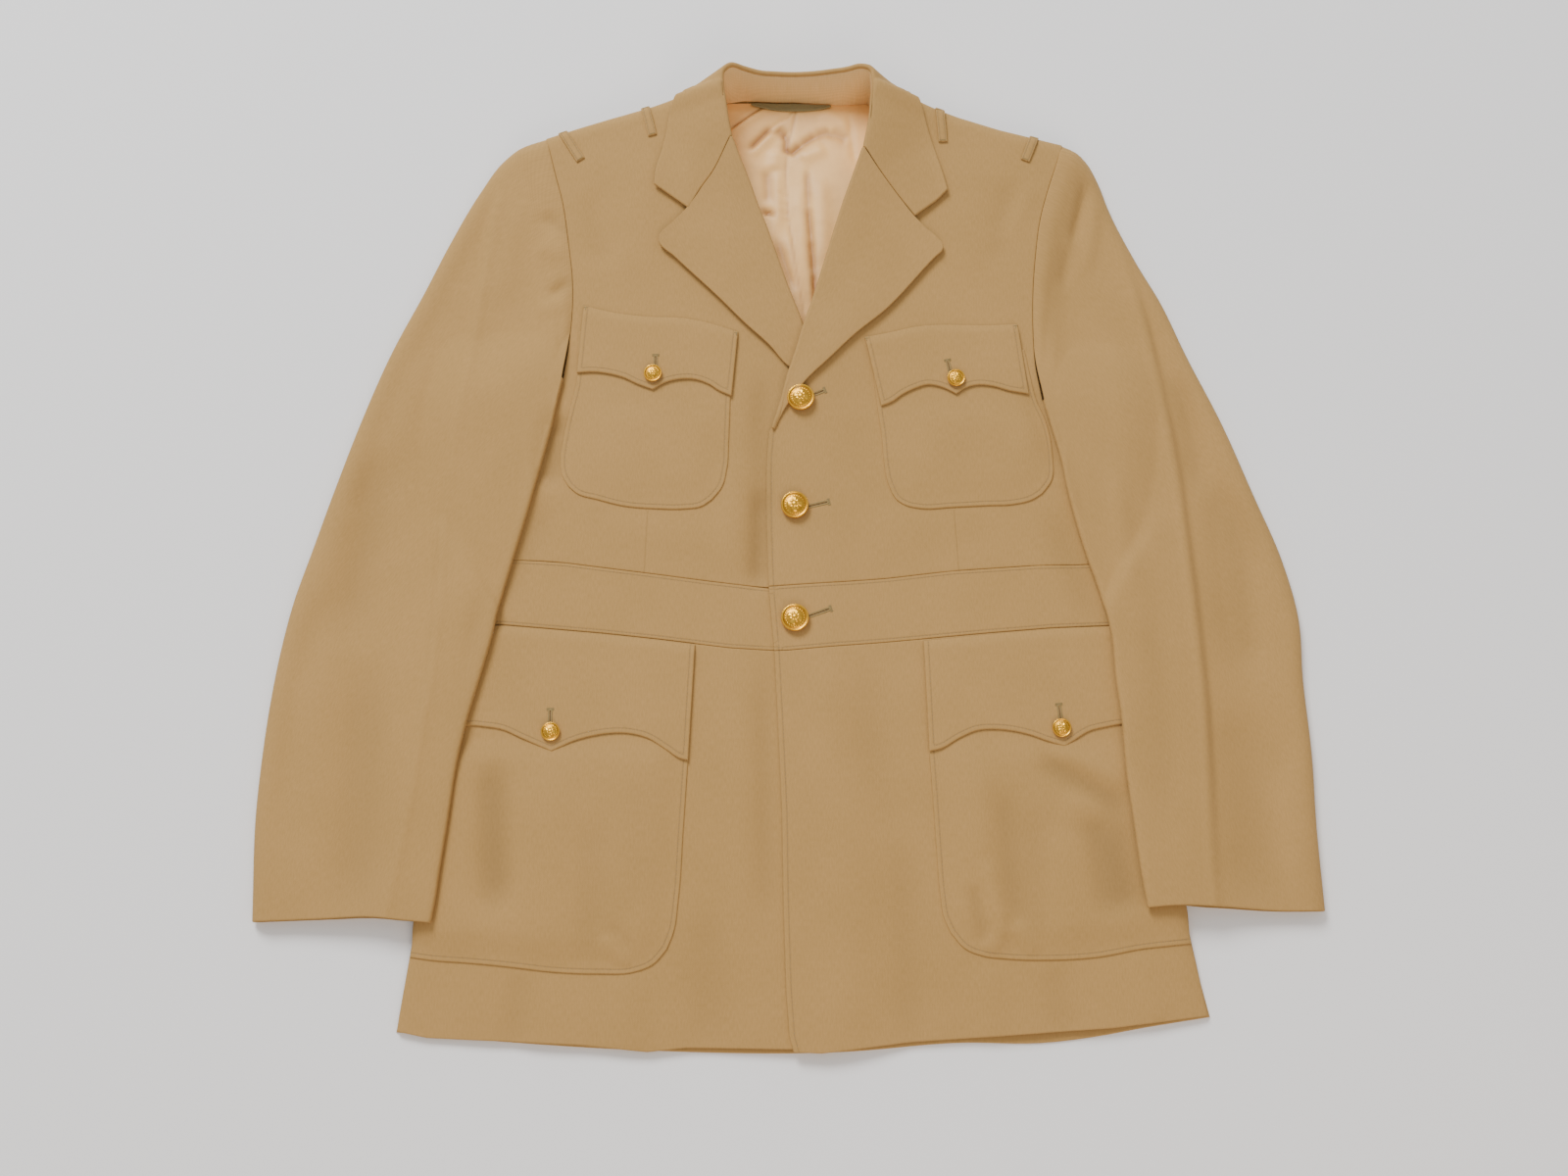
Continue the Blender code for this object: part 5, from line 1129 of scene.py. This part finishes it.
def satin(name, light, dark):
    """Warp-faced satin lining: fine lengthwise threads and a broad soft gloss, browner by the
    shade attribute, which is painted shade where a fold turns under and along the middle seam."""
    material, tree, shader = new_material(name)
    cut = node(tree, "ShaderNodeUVMap", uv_map="cut").outputs["UV"]
    warp = node(tree, "ShaderNodeTexWave", [("Vector", cut)], bands_direction="X",
                inputs={"Scale": WAVE_PER_PITCH * 1.5, "Distortion": 0.8,
                        "Detail": 1.0, "Detail Scale": 20.0})
    cloud = node(tree, "ShaderNodeTexNoise", [("Vector", cut)],
                 inputs={"Scale": 38.0, "Detail": 3.0, "Roughness": 0.5})
    crush = node(tree, "ShaderNodeTexNoise", [("Vector", cut)],
                 inputs={"Scale": 120.0, "Detail": 2.0, "Roughness": 0.5})
    shade = node(tree, "ShaderNodeAttribute", attribute_name="shade")
    uneven = node(tree, "ShaderNodeMapRange", [("Value", cloud.outputs["Fac"])],
                  inputs={"From Min": 0.35, "From Max": 0.65, "To Min": -0.10, "To Max": 0.12})
    total = node(tree, "ShaderNodeMath", [(0, shade.outputs["Fac"]), (1, uneven.outputs["Result"])],
                 operation="ADD")
    cloth = node(tree, "ShaderNodeMix", [("Factor", total.outputs[0])], data_type="RGBA",
                 inputs={"A": linear(light), "B": linear(dark)})
    tree.links.new(cloth.outputs["Result"], shader.inputs["Base Color"])
    threads = node(tree, "ShaderNodeBump", [("Height", warp.outputs["Fac"])],
                   inputs={"Strength": 0.25, "Distance": 0.00005})
    soft = node(tree, "ShaderNodeBump",
                [("Height", crush.outputs["Fac"]), ("Normal", threads.outputs["Normal"])],
                inputs={"Strength": 0.3, "Distance": 0.0006})
    tree.links.new(soft.outputs["Normal"], shader.inputs["Normal"])
    shader.inputs["Roughness"].default_value = 0.48
    shader.inputs["Specular IOR Level"].default_value = 0.42
    shader.inputs["Anisotropic"].default_value = 0.45
    return material


# the dark colour is the brown of painted shade in the lining's folds
lining_satin = satin("lining_satin_peach", "#FFCB80", "#A86F38")
lining_y = shares(LINING_LONG, 2.0)[:, None] * LINING_LONG + LINING_FOOT
lining_low = np.interp(lining_y, LINING_ENDS["y"], LINING_ENDS["low"])
lining_high = np.interp(lining_y, LINING_ENDS["y"], LINING_ENDS["high"])
lining_x = lining_low + (lining_high - lining_low) * shares(178, 1.9)[None, :]
lining_y = lining_y + 0 * lining_x
lining_wave = (0.5 * np.sin((lining_x - 0.35 * lining_y) / 17.0)
               + 0.4 * np.sin((lining_x + 0.6 * lining_y) / 26.0))
seam_x = np.interp(lining_y, LINING_SEAM["y"], LINING_SEAM["x"])
seam_dip = np.exp(-((lining_x - seam_x) / 1.3) ** 2)
lining_relief = folds(lining_x, lining_y, LINING_FOLDS)
lining_rise = ((2.9 + 1.2 * lining_wave + 1.4 * lining_relief - 0.7 * seam_dip)
               * ease((390 - lining_y) / 14) * ease((lining_y - LINING_FOOT) / 30))
# painted shade: darker in the troughs of the deeper folds and in the dip along the middle seam
lining_troughs = [(*r[:4], 1.35 * r[4], r[5]) for r in LINING_FOLDS if r[5] < -1.05]
lining_shade = 0.85 * np.clip(-folds(lining_x, lining_y, lining_troughs) / 1.8, 0, 1) + 0.35 * seam_dip
lining_points = np.stack([lining_x, lining_y, FRONT_LOW + np.maximum(lining_rise, 0)], -1)
declare(shell("back_lining_cloth", lining_points, LINING_WALL, lining_satin, shade=lining_shade),
        "back_lining")


# Hanger loop
# A doubled olive tape caught under the stand at both ends, sagging over the lining.
def tape_weave(name, dark, light):
    """Narrow woven tape: ribs across its length and a dull surface."""
    material, tree, shader = new_material(name)
    cut = node(tree, "ShaderNodeUVMap", uv_map="cut").outputs["UV"]
    rib = node(tree, "ShaderNodeTexWave", [("Vector", cut)], bands_direction="DIAGONAL",
               inputs={"Scale": WAVE_PER_PITCH * 1.5, "Distortion": 0.5,
                       "Detail": 1.0, "Detail Scale": 20.0})
    fuzz = node(tree, "ShaderNodeTexNoise", [("Vector", cut)],
                inputs={"Scale": 700.0, "Detail": 3.0, "Roughness": 0.6})
    total = node(tree, "ShaderNodeMath", [(0, rib.outputs["Fac"]), (1, fuzz.outputs["Fac"])],
                 operation="ADD")
    spread = node(tree, "ShaderNodeMapRange", [("Value", total.outputs[0])],
                  inputs={"From Min": 0.4, "From Max": 1.5})
    cloth = node(tree, "ShaderNodeMix", [("Factor", spread.outputs["Result"])], data_type="RGBA",
                 inputs={"A": linear(dark), "B": linear(light)})
    tree.links.new(cloth.outputs["Result"], shader.inputs["Base Color"])
    ribbed = node(tree, "ShaderNodeBump", [("Height", total.outputs[0])],
                  inputs={"Strength": 0.6, "Distance": 0.0002})
    tree.links.new(ribbed.outputs["Normal"], shader.inputs["Normal"])
    shader.inputs["Roughness"].default_value = 0.8
    return material


olive_tape = tape_weave("hanger_tape_olive", "#7A6E48", "#978A60")
TAPE_WALL = 1.0
TAPE_EDGE = (0, 0.25, 0.6)
TAPE_FROM, TAPE_TO = -32, 37
hanger_x = np.linspace(TAPE_FROM, TAPE_TO, 70)[None, :]
hanger_v = shares(6, 0.8, near=TAPE_EDGE, far=TAPE_EDGE)[:, None]
hanger_high = np.interp(hanger_x, [TAPE_FROM, 5, TAPE_TO], [386.5, 386, 384.5])
hanger_low = (hanger_high - 2.0
              - 6.0 * np.sin(math.pi * (hanger_x - TAPE_FROM) / (TAPE_TO - TAPE_FROM)) ** 0.8)
hanger_y = hanger_low + (hanger_high - hanger_low) * hanger_v
hanger_z = FRONT_LOW + LINING_WALL + 2.0 + 1.3 * (1 - hanger_v) + 0.25 * np.sin(hanger_x / 5)
hanger_points = np.stack([hanger_x + 0 * hanger_v, hanger_y, hanger_z], -1)
declare(shell("hanger_loop_tape", hanger_points, TAPE_WALL, olive_tape, round_over=0.6), "hanger_loop")


# Shoulder loops
# Four narrow loops of the jacket's cloth near the shoulder seams, folded double, stitched along
# both edges and tacked down with a bar at each end.
LOOP_WALL = 1.2
LOOP_WIDE = 7.6
LOOP_EDGE = (0, 0.3, 0.8)
LOOP_STITCH = 1.5        # its rows of stitches from its edges
loop_bars = []
for side, place, (x0, y0), (x1, y1) in (
        ("right", "outer", (-174, 322), (-191, 350)), ("right", "inner", (-114, 344), (-121, 372)),
        ("left", "inner", (130, 338), (127.5, 369)), ("left", "outer", (199, 322), (208, 345))):
    loop_name = f"shoulder_loop_{side}_{place}"
    loop_long = math.hypot(x1 - x0, y1 - y0)
    loop_dx, loop_dy = (x1 - x0) / loop_long, (y1 - y0) / loop_long
    loop_v = shares(loop_long, 1.0, near=LOOP_EDGE, far=LOOP_EDGE)[:, None] * loop_long
    loop_u = (shares(LOOP_WIDE, 0.9, near=LOOP_EDGE, far=LOOP_EDGE)[None, :] - 0.5) * LOOP_WIDE
    loop_x, loop_y = x0 + loop_dx * loop_v + loop_dy * loop_u, y0 + loop_dy * loop_v - loop_dx * loop_u
    slack = 0.7 * np.sin(math.pi * loop_v / loop_long) ** 0.6 * (1 - (2 * loop_u / LOOP_WIDE) ** 2 * 0.5)
    loop_points = moved_out(loop_x, loop_y, FRONTS[side], OVER_FRONT + 0.1 + slack)
    loop = shell(loop_name + "_cloth", loop_points, LOOP_WALL, khaki, round_over=0.6,
                 stitch=LOOP_WIDE / 2 - np.abs(loop_u) - LOOP_STITCH)
    declare(loop, loop_name)
    for across in (-LOOP_WIDE / 2 + LOOP_STITCH, LOOP_WIDE / 2 - LOOP_STITCH):
        steps = np.linspace(1.5, loop_long - 1.5, 12)
        sewn_rows.append((loop, np.stack([x0 + loop_dx * steps + loop_dy * across,
                                          y0 + loop_dy * steps - loop_dx * across], -1)))
    for along in (1.2, loop_long - 1.2):
        bar_x, bar_y = x0 + loop_dx * along, y0 + loop_dy * along
        bar = np.array([(bar_x - loop_dy * s, bar_y + loop_dx * s) for s in (2.6, -2.6)])
        loop_bars.append((loop, bar))


# Topstitching
# Matching khaki thread: single stitches sunk a little into the cloth round pockets and flaps,
# down the left front edge, and along both seams of the belt.
STITCH_PITCH = 2.9       # real stitches are about 2.2 mm: drawn a little longer to show
STITCH_LONG = 2.2
STITCH_RADIUS = 0.2


def thread(name, dark, light, rough):
    """Spun sewing thread: a fine twist along each stitch, duller in its hollows."""
    material, tree, shader = new_material(name)
    place = node(tree, "ShaderNodeTexCoord").outputs["Object"]
    twist = node(tree, "ShaderNodeTexWave", [("Vector", place)], bands_direction="DIAGONAL",
                 inputs={"Scale": WAVE_PER_PITCH * 2.4, "Distortion": 1.0,
                         "Detail": 1.0, "Detail Scale": 15.0})
    uneven = node(tree, "ShaderNodeTexNoise", [("Vector", place)], inputs={"Scale": 160.0, "Detail": 2.0})
    total = node(tree, "ShaderNodeMath", [(0, twist.outputs["Fac"]), (1, uneven.outputs["Fac"])],
                 operation="ADD")
    spread = node(tree, "ShaderNodeMapRange", [("Value", total.outputs[0])],
                  inputs={"From Min": 0.3, "From Max": 1.4})
    spun = node(tree, "ShaderNodeMix", [("Factor", spread.outputs["Result"])], data_type="RGBA",
                inputs={"A": linear(dark), "B": linear(light)})
    tree.links.new(spun.outputs["Result"], shader.inputs["Base Color"])
    twisted = node(tree, "ShaderNodeBump", [("Height", twist.outputs["Fac"])],
                   inputs={"Strength": 0.5, "Distance": 0.0001})
    tree.links.new(twisted.outputs["Normal"], shader.inputs["Normal"])
    shader.inputs["Roughness"].default_value = rough
    shader.inputs["Sheen Weight"].default_value = 0.15
    return material


khaki_thread = thread("sewing_thread_khaki", "#86693F", "#A88A5C", 0.7)
dark_thread = thread("buttonhole_twist_olive", "#7C6434", "#A0864E", 0.7)


def on_cloth(shells, xy):
    """The place on the nearest top point's tangent plane, and that point's normal, for each
    point in plan."""
    tops = np.concatenate([s["top"].reshape(-1, 3) for s in shells])
    normals = np.concatenate([s["normal"].reshape(-1, 3) for s in shells])
    low, high = xy.min(0) - 8, xy.max(0) + 8
    near = ((tops[:, :2] > low) & (tops[:, :2] < high)).all(1) & (normals[:, 2] > 0.05)
    tops, normals = tops[near], normals[near]
    nearest = np.concatenate([((part[:, None] - tops[None, :, :2]) ** 2).sum(-1).argmin(1)
                              for part in np.array_split(xy, max(1, len(xy) // 60))])
    base, normal = tops[nearest], normals[nearest]
    z = base[:, 2] - ((xy - base[:, :2]) * normal[:, :2]).sum(1) / normal[:, 2]
    return np.concatenate([xy, z[:, None]], 1), normal


def tube_faces(rows, cols, closed=False):
    """Quads of a grid of points whose last column joins its first one, and so do its rows if
    closed."""
    r, c = np.meshgrid(np.arange(rows if closed else rows - 1), np.arange(cols), indexing="ij")
    row, col, next_row, next_col = r * cols, c, (r + 1) % rows * cols, (c + 1) % cols
    return np.stack([row + col, row + next_col, next_row + next_col, next_row + col], -1).reshape(-1, 4)


def capsules(centres, along, normal, long, radius, sides=6):
    """Small rods with rounded ends, one at each centre: rings of a profile that swells to the
    radius and closes at both ends, flattened by a third towards the cloth."""
    stations = np.array([-0.5, -0.42, -0.2, 0.2, 0.42, 0.5])
    swell = np.array([0.12, 0.75, 1.0, 1.0, 0.75, 0.12])
    across = np.cross(normal, along)
    angle = np.arange(sides) * 2 * math.pi / sides
    ring = (across[:, None, None] * np.cos(angle)[None, None, :, None]
            + normal[:, None, None] * (0.67 * np.sin(angle))[None, None, :, None])
    points = (centres[:, None, None] + along[:, None, None] * (stations * long)[None, :, None, None]
              + ring * (swell * radius)[None, :, None, None])
    each = len(stations) * sides
    firsts = np.arange(len(centres)) * each
    faces = (tube_faces(len(stations), sides)[None] + firsts[:, None, None]).reshape(-1, 4).tolist()
    for first in firsts.tolist():
        faces.append([first + k for k in range(sides)[::-1]])
        faces.append([first + each - sides + k for k in range(sides)])
    return points.reshape(-1, 3), faces


def sew(name, rows, material=khaki_thread, pitch=STITCH_PITCH, long=STITCH_LONG, radius=STITCH_RADIUS):
    """One mesh of the stitches of several rows: even steps along each path in plan, set on the
    cloth, each turned along its row."""
    centres, alongs, normals = [], [], []
    for cloths, path in rows:
        steps = lengths_along(path)
        places = np.arange(pitch * 0.5, steps[-1] - pitch * 0.3, pitch)
        behind, xy, ahead = (np.stack([np.interp(places + shift, steps, path[:, k]) for k in (0, 1)], -1)
                             for shift in (-0.8, 0.0, 0.8))
        ahead = ahead - behind
        base, normal = on_cloth(cloths if isinstance(cloths, list) else [cloths], xy)
        along = np.concatenate([ahead, 0 * ahead[:, :1]], 1)
        along -= normal * (along * normal).sum(1)[:, None]
        centres.append(base + normal * 0.02)
        alongs.append(unit(along))
        normals.append(normal)
    verts, faces = capsules(*(np.concatenate(each) for each in (centres, alongs, normals)), long, radius)
    made = new_piece(name, verts, faces, material)
    return made


edge_y = np.linspace(82, -396, 200)
left_cloths = [front_pieces[part + "_left"] for part in ("chest", "belt", "skirt")]
seam_rows = [(left_cloths, np.stack([front_edge_x(edge_y) + FRONT_STITCH, edge_y], -1))]
for side, x_from, x_to in (("right", -250, -18), ("left", -9, 261)):
    for seam, step in ((BELT_TOP, -BELT_STITCH), (BELT_LOW, BELT_STITCH)):
        belt_x = np.linspace(x_from, x_to, 90)
        belt_y = np.interp(belt_x, seam["x"], seam[side]) + step
        seam_rows.append((front_pieces["belt_" + side], np.stack([belt_x, belt_y], -1)))
sew("pocket_stitches", sewn_rows)
sew("front_and_belt_stitches", seam_rows)


# Buttonholes and bar tacks
# Worked with a heavier olive twist: a corded ring round a slit, closed by a bar, beside each
# button, and short bars where flaps and loops are held down.
HOLE_HALF = 1.2
HOLE_CORD = 0.6
HOLE_TWIST = 0.9         # from one turn of the twist to the next
CORD_SIDES = 8
HOLE_BAR = 2.7


def buttonhole(start, end, cloth):
    """A ring of cord along a long oval round the slit. The cord's radius swells and shrinks with
    each turn of the thread, as a sine of the length along it."""
    start, end = np.array(start, float), np.array(end, float)
    long = np.linalg.norm(end - start)
    along = (end - start) / long
    across = np.array([-along[1], along[0]])
    steps = 110
    angle = np.linspace(0, 2 * math.pi, steps, endpoint=False)
    oval = np.stack([np.sign(np.cos(angle)) * np.abs(np.cos(angle)) ** 0.35 * long / 2,
                     np.sign(np.sin(angle)) * np.abs(np.sin(angle)) ** 0.35 * HOLE_HALF], -1)
    ring = np.vstack([oval, oval[:1]])
    lengths = lengths_along(ring)
    even = np.linspace(0, lengths[-1], steps, endpoint=False)
    oval = np.stack([np.interp(even, lengths, ring[:, k]) for k in (0, 1)], -1)
    xy = (start + end) / 2 + oval[:, :1] * along + oval[:, 1:] * across
    base, normal = on_cloth([cloth], xy)
    aside = np.cross(normal, unit(np.roll(base, -1, 0) - np.roll(base, 1, 0)))
    turns = HOLE_CORD * (1 + 0.16 * np.sin(even * 2 * math.pi / HOLE_TWIST))
    around = np.arange(CORD_SIDES) * math.pi * 2 / CORD_SIDES
    circle = (aside[:, None] * np.cos(around)[None, :, None]
              + normal[:, None] * (0.7 * np.sin(around))[None, :, None])
    points = base[:, None] + turns[:, None, None] * circle
    return points.reshape(-1, 3), tube_faces(steps, CORD_SIDES, closed=True)


chest_left, belt_left = front_pieces["chest_left"], front_pieces["belt_left"]
cord_points, cord_faces, slits = [], [], []
bars = loop_bars
for cloth, start, end in (
        (chest_left, (18.7, 112.6), (29.0, 116.8)), (chest_left, (15.6, 19.4), (31.6, 23.2)),
        (belt_left, (15.8, -70.3), (32.6, -64.2)), (chest_flap_right, (-107.8, 135.6), (-108.0, 146.7)),
        (chest_flap_left, (131.7, 132.1), (129.6, 142.4)),
        (lower_flap_right, (-183.6, -154.8), (-183.9, -144.9)),
        (lower_flap_left, (209.8, -151.8), (208.8, -141.0))):
    points, faces = buttonhole(start, end, cloth)
    cord_faces.append(faces + sum(len(p) for p in cord_points))
    cord_points.append(points)
    along = (np.array(end) - start) / math.dist(start, end)
    across = np.array([-along[1], along[0]]) * HOLE_BAR
    slits.append((cloth, np.array([start + 0.3 * along, end - 0.5 * along])))
    for slide in (-0.2, 0.6, 1.4):
        middle = np.array(end) + along * slide
        bars.append((cloth, np.array([middle - across, middle + across])))
for flap, x, y in ((chest_flap_right, -166.5, 190), (chest_flap_right, -42.5, 167.5),
                   (chest_flap_left, 64, 161.5), (chest_flap_left, 186.5, 174)):
    bars.append((flap, np.array([(x - 1.5, y), (x + 1.5, y)])))
    bars.append((flap, np.array([(x, y - 2.4), (x, y + 0.6)])))
buttonhole_cord = new_piece("buttonhole_cord", np.concatenate(cord_points), np.concatenate(cord_faces),
                            dark_thread)
slit_painted_shadow = thread("slit_shadow_cloth", "#33281A", "#4A3A24", 0.95)       # painted shadow: dark stitches that stand for the shadow deep in each slit
sew("buttonhole_slit_shadows", slits, slit_painted_shadow, 1.5, 2.2, 0.3)
sew("bar_tacks", bars, dark_thread, 0.9, 1.5, 0.42)


# Buttons
# Domed gilt brass shells with a rolled rim and a shank: three large ones close the front and a
# small one holds each flap. The raised design is a plain rosette in a beaded ring.
FRONT_BUTTON = 11.0
POCKET_BUTTON = 7.3
DOME_ROWS = 44
DOME_RADIUS = 0.79       # of the button's own radius, as are the profile's numbers
RIM_PROFILE = [
    (0.80, 0.330), (0.84, 0.325), (0.88, 0.372), (0.925, 0.392), (0.965, 0.372), (0.99, 0.32),
    (1.0, 0.25), (0.985, 0.18), (0.93, 0.135), (0.7, 0.12), (0.45, 0.11), (0.41, 0.06), (0.40, 0.0),
    (0.0, 0.0)]


def gilt(name, bright, deep):
    """Gilt brass: warm polished metal with fine scratches and a brown bloom left in the hollows
    of the design, by the shade attribute."""
    material, tree, shader = new_material(name)
    place = node(tree, "ShaderNodeTexCoord").outputs["Object"]
    bloom = node(tree, "ShaderNodeTexNoise", [("Vector", place)],
                 inputs={"Scale": 420.0, "Detail": 4.0, "Roughness": 0.6})
    scratch_place = node(tree, "ShaderNodeMapping", [("Vector", place)],
                         inputs={"Scale": (1.0, 0.15, 1.0), "Rotation": (0, 0, 0.6)})
    scratch = node(tree, "ShaderNodeTexNoise", [("Vector", scratch_place.outputs["Vector"])],
                   inputs={"Scale": 2600.0, "Detail": 2.0})
    shade = node(tree, "ShaderNodeAttribute", attribute_name="shade")
    cloudy = node(tree, "ShaderNodeMapRange", [("Value", bloom.outputs["Fac"])],
                  inputs={"From Min": 0.35, "From Max": 0.7, "To Min": -0.08, "To Max": 0.3})
    total = node(tree, "ShaderNodeMath", [(0, shade.outputs["Fac"]), (1, cloudy.outputs["Result"])],
                 operation="ADD", use_clamp=True)
    metal = node(tree, "ShaderNodeMix", [("Factor", total.outputs[0])], data_type="RGBA",
                 inputs={"A": linear(bright), "B": linear(deep)})
    tree.links.new(metal.outputs["Result"], shader.inputs["Base Color"])
    rough = node(tree, "ShaderNodeMapRange", [("Value", total.outputs[0])],
                 inputs={"To Min": 0.28, "To Max": 0.5})
    tree.links.new(rough.outputs["Result"], shader.inputs["Roughness"])
    scored = node(tree, "ShaderNodeBump", [("Height", scratch.outputs["Fac"])],
                  inputs={"Strength": 0.2, "Distance": 0.00004})
    tree.links.new(scored.outputs["Normal"], shader.inputs["Normal"])
    shader.inputs["Metallic"].default_value = 1.0
    return material


gilt_brass = gilt("gilt_brass_struck", "#FFC443", "#A8701C")


def rosette(r, angle):
    """Height of the struck design over the dome, 0 to 1: a round boss, eight leaves that rise as
    a cosine of the angle and taper outwards, and a ring of beads."""
    boss = np.sqrt(np.clip(1 - (r / 0.17) ** 2, 0, 1))
    leaf = np.clip(np.cos(4 * angle), 0, 1) ** 0.7 * ease((r - 0.17) / 0.06) * ease((0.60 - r) / 0.13)
    small = np.clip(-np.cos(4 * angle), 0, 1) * ease((r - 0.20) / 0.05) * ease((0.43 - r) / 0.10) * 0.7
    vein = 1 - 0.35 * np.exp(-(np.sin(4 * angle) / 0.16) ** 2) * (np.cos(4 * angle) > 0)
    bead = np.clip(np.cos(24 * angle), 0, 1) ** 0.5 * np.sqrt(np.clip(1 - ((r - 0.69) / 0.045) ** 2, 0, 1))
    return np.maximum(np.maximum(boss, leaf * vein), np.maximum(small, 0.7 * bead))


def button(name, x, y, radius, cloth, turned, tip):
    """A profile turned round its axis in 96 steps: a dome with the design on it, the rim, and
    the back and shank, tipped a little as it lies."""
    dome_r = np.linspace(0.0, DOME_RADIUS, DOME_ROWS)
    r = np.concatenate([dome_r, [p[0] for p in RIM_PROFILE]])[:, None]
    z = np.concatenate([0.30 + 0.20 * (1 - (dome_r / 0.82) ** 2), [p[1] for p in RIM_PROFILE]])[:, None]
    angle = (np.arange(96) * 2 * math.pi / 96)[None, :]
    design = np.where(r < DOME_RADIUS, rosette(r, angle + turned), 0.0)
    z = z + 0.055 * design
    row = np.arange(len(r))[:, None]
    dulled = 0.5 * (1 - np.clip(design * 1.6, 0, 1)) * ease((r - 0.02) / 0.05)
    shade = np.where(row < DOME_ROWS, dulled, 0.0)
    shade = np.where((r > 0.76) & (r < 0.86) & (row < DOME_ROWS + 3), 0.75, shade)
    tops = cloth["top"].reshape(-1, 3)
    near = tops[np.hypot(tops[:, 0] - x, tops[:, 1] - y) < 0.55 * radius]
    seat = float(near[:, 2].max()) + 0.05
    points = np.stack([r * np.cos(angle), r * np.sin(angle), z + 0 * angle], -1) * radius
    tilted = points.copy()
    tilted[..., 2] += points[..., 0] * tip[0] + points[..., 1] * tip[1]
    tilted += (x, y, seat + (abs(tip[0]) + abs(tip[1])) * radius * 0.42)
    rows, cols = points.shape[:2]
    same = np.arange(rows * cols).reshape(rows, cols)
    same[0], same[-1] = same[0, 0], same[-1, 0]
    faces = np.roll(tube_faces(rows, cols)[:, ::-1], 1, axis=1)
    used, faces = np.unique(same.reshape(-1)[faces], return_inverse=True)
    faces = [list(dict.fromkeys(face)) for face in faces.reshape(-1, 4).tolist()]
    made = new_piece(name + "_gilt", tilted.reshape(-1, 3)[used], faces, gilt_brass,
                     [("shade", (shade + 0 * angle).ravel()[used])])
    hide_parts(name)


for name, x, y, radius, cloth, turned, tip in (
        ("front_button_1", 10, 110, FRONT_BUTTON, chest_left, 0.2, (0.03, 0.02)),
        ("front_button_2", 5, 20, FRONT_BUTTON, chest_left, 0.0, (-0.02, 0.03)),
        ("front_button_3", 5, -72, FRONT_BUTTON, belt_left, 0.35, (0.02, -0.02)),
        ("pocket_button_chest_right", -110, 131, POCKET_BUTTON, chest_flap_right, 0.1, (0.03, 0.03)),
        ("pocket_button_chest_left", 136, 127, POCKET_BUTTON, chest_flap_left, 0.5, (-0.03, 0.02)),
        ("pocket_button_lower_right", -183, -162, POCKET_BUTTON, lower_flap_right, 0.3, (0.02, 0.04)),
        ("pocket_button_lower_left", 210, -159, POCKET_BUTTON, lower_flap_left, 0.7, (0.02, 0.03))):
    button(name, x, y, radius, cloth, turned, tip)


# Table top and light
# A pale table under the jacket, a wide soft light high at the collar end, and a weaker, warmer
# fill from the hem.
table_material, _, table_shader = new_material("table_white")     # matt, faintly cool white paint
table_shader.inputs["Base Color"].default_value = linear("#FAFAFA")
table_shader.inputs["Roughness"].default_value = 0.9
table_mesh = bpy.data.meshes.new("floor")
table_mesh.from_pydata([(-6, -6, 0), (6, -6, 0), (6, 6, 0), (-6, 6, 0)], [], [(0, 1, 2, 3)])
table_mesh.materials.append(table_material)
table = bpy.data.objects.new("floor", table_mesh)
bpy.context.scene.collection.objects.link(table)

world = bpy.data.worlds.new("studio")
world.use_nodes = True
world.node_tree.nodes["Background"].inputs["Color"].default_value = linear("#F4F6FA")
world.node_tree.nodes["Background"].inputs["Strength"].default_value = 0.6
bpy.context.scene.world = world
for light_name, place, size, power, tint in (
        ("soft_key", (-1.5, 3.1, 2.9), 2.0, 206.0, "#FFFFFF"),
        ("soft_fill", (0.6, -2.4, 1.7), 1.6, 30.0, "#FFE2C0")):
    lamp = bpy.data.lights.new(light_name, "AREA")
    lamp.shape = "DISK"
    lamp.size = size
    lamp.energy = power
    lamp.color = linear(tint)[:3]
    lamp_object = bpy.data.objects.new(light_name, lamp)
    bpy.context.scene.collection.objects.link(lamp_object)
    lamp_object.location = place
    lamp_object.rotation_euler = (math.atan2(math.hypot(place[0], place[1]), place[2]), 0,
                                  math.atan2(place[0], -place[1]))
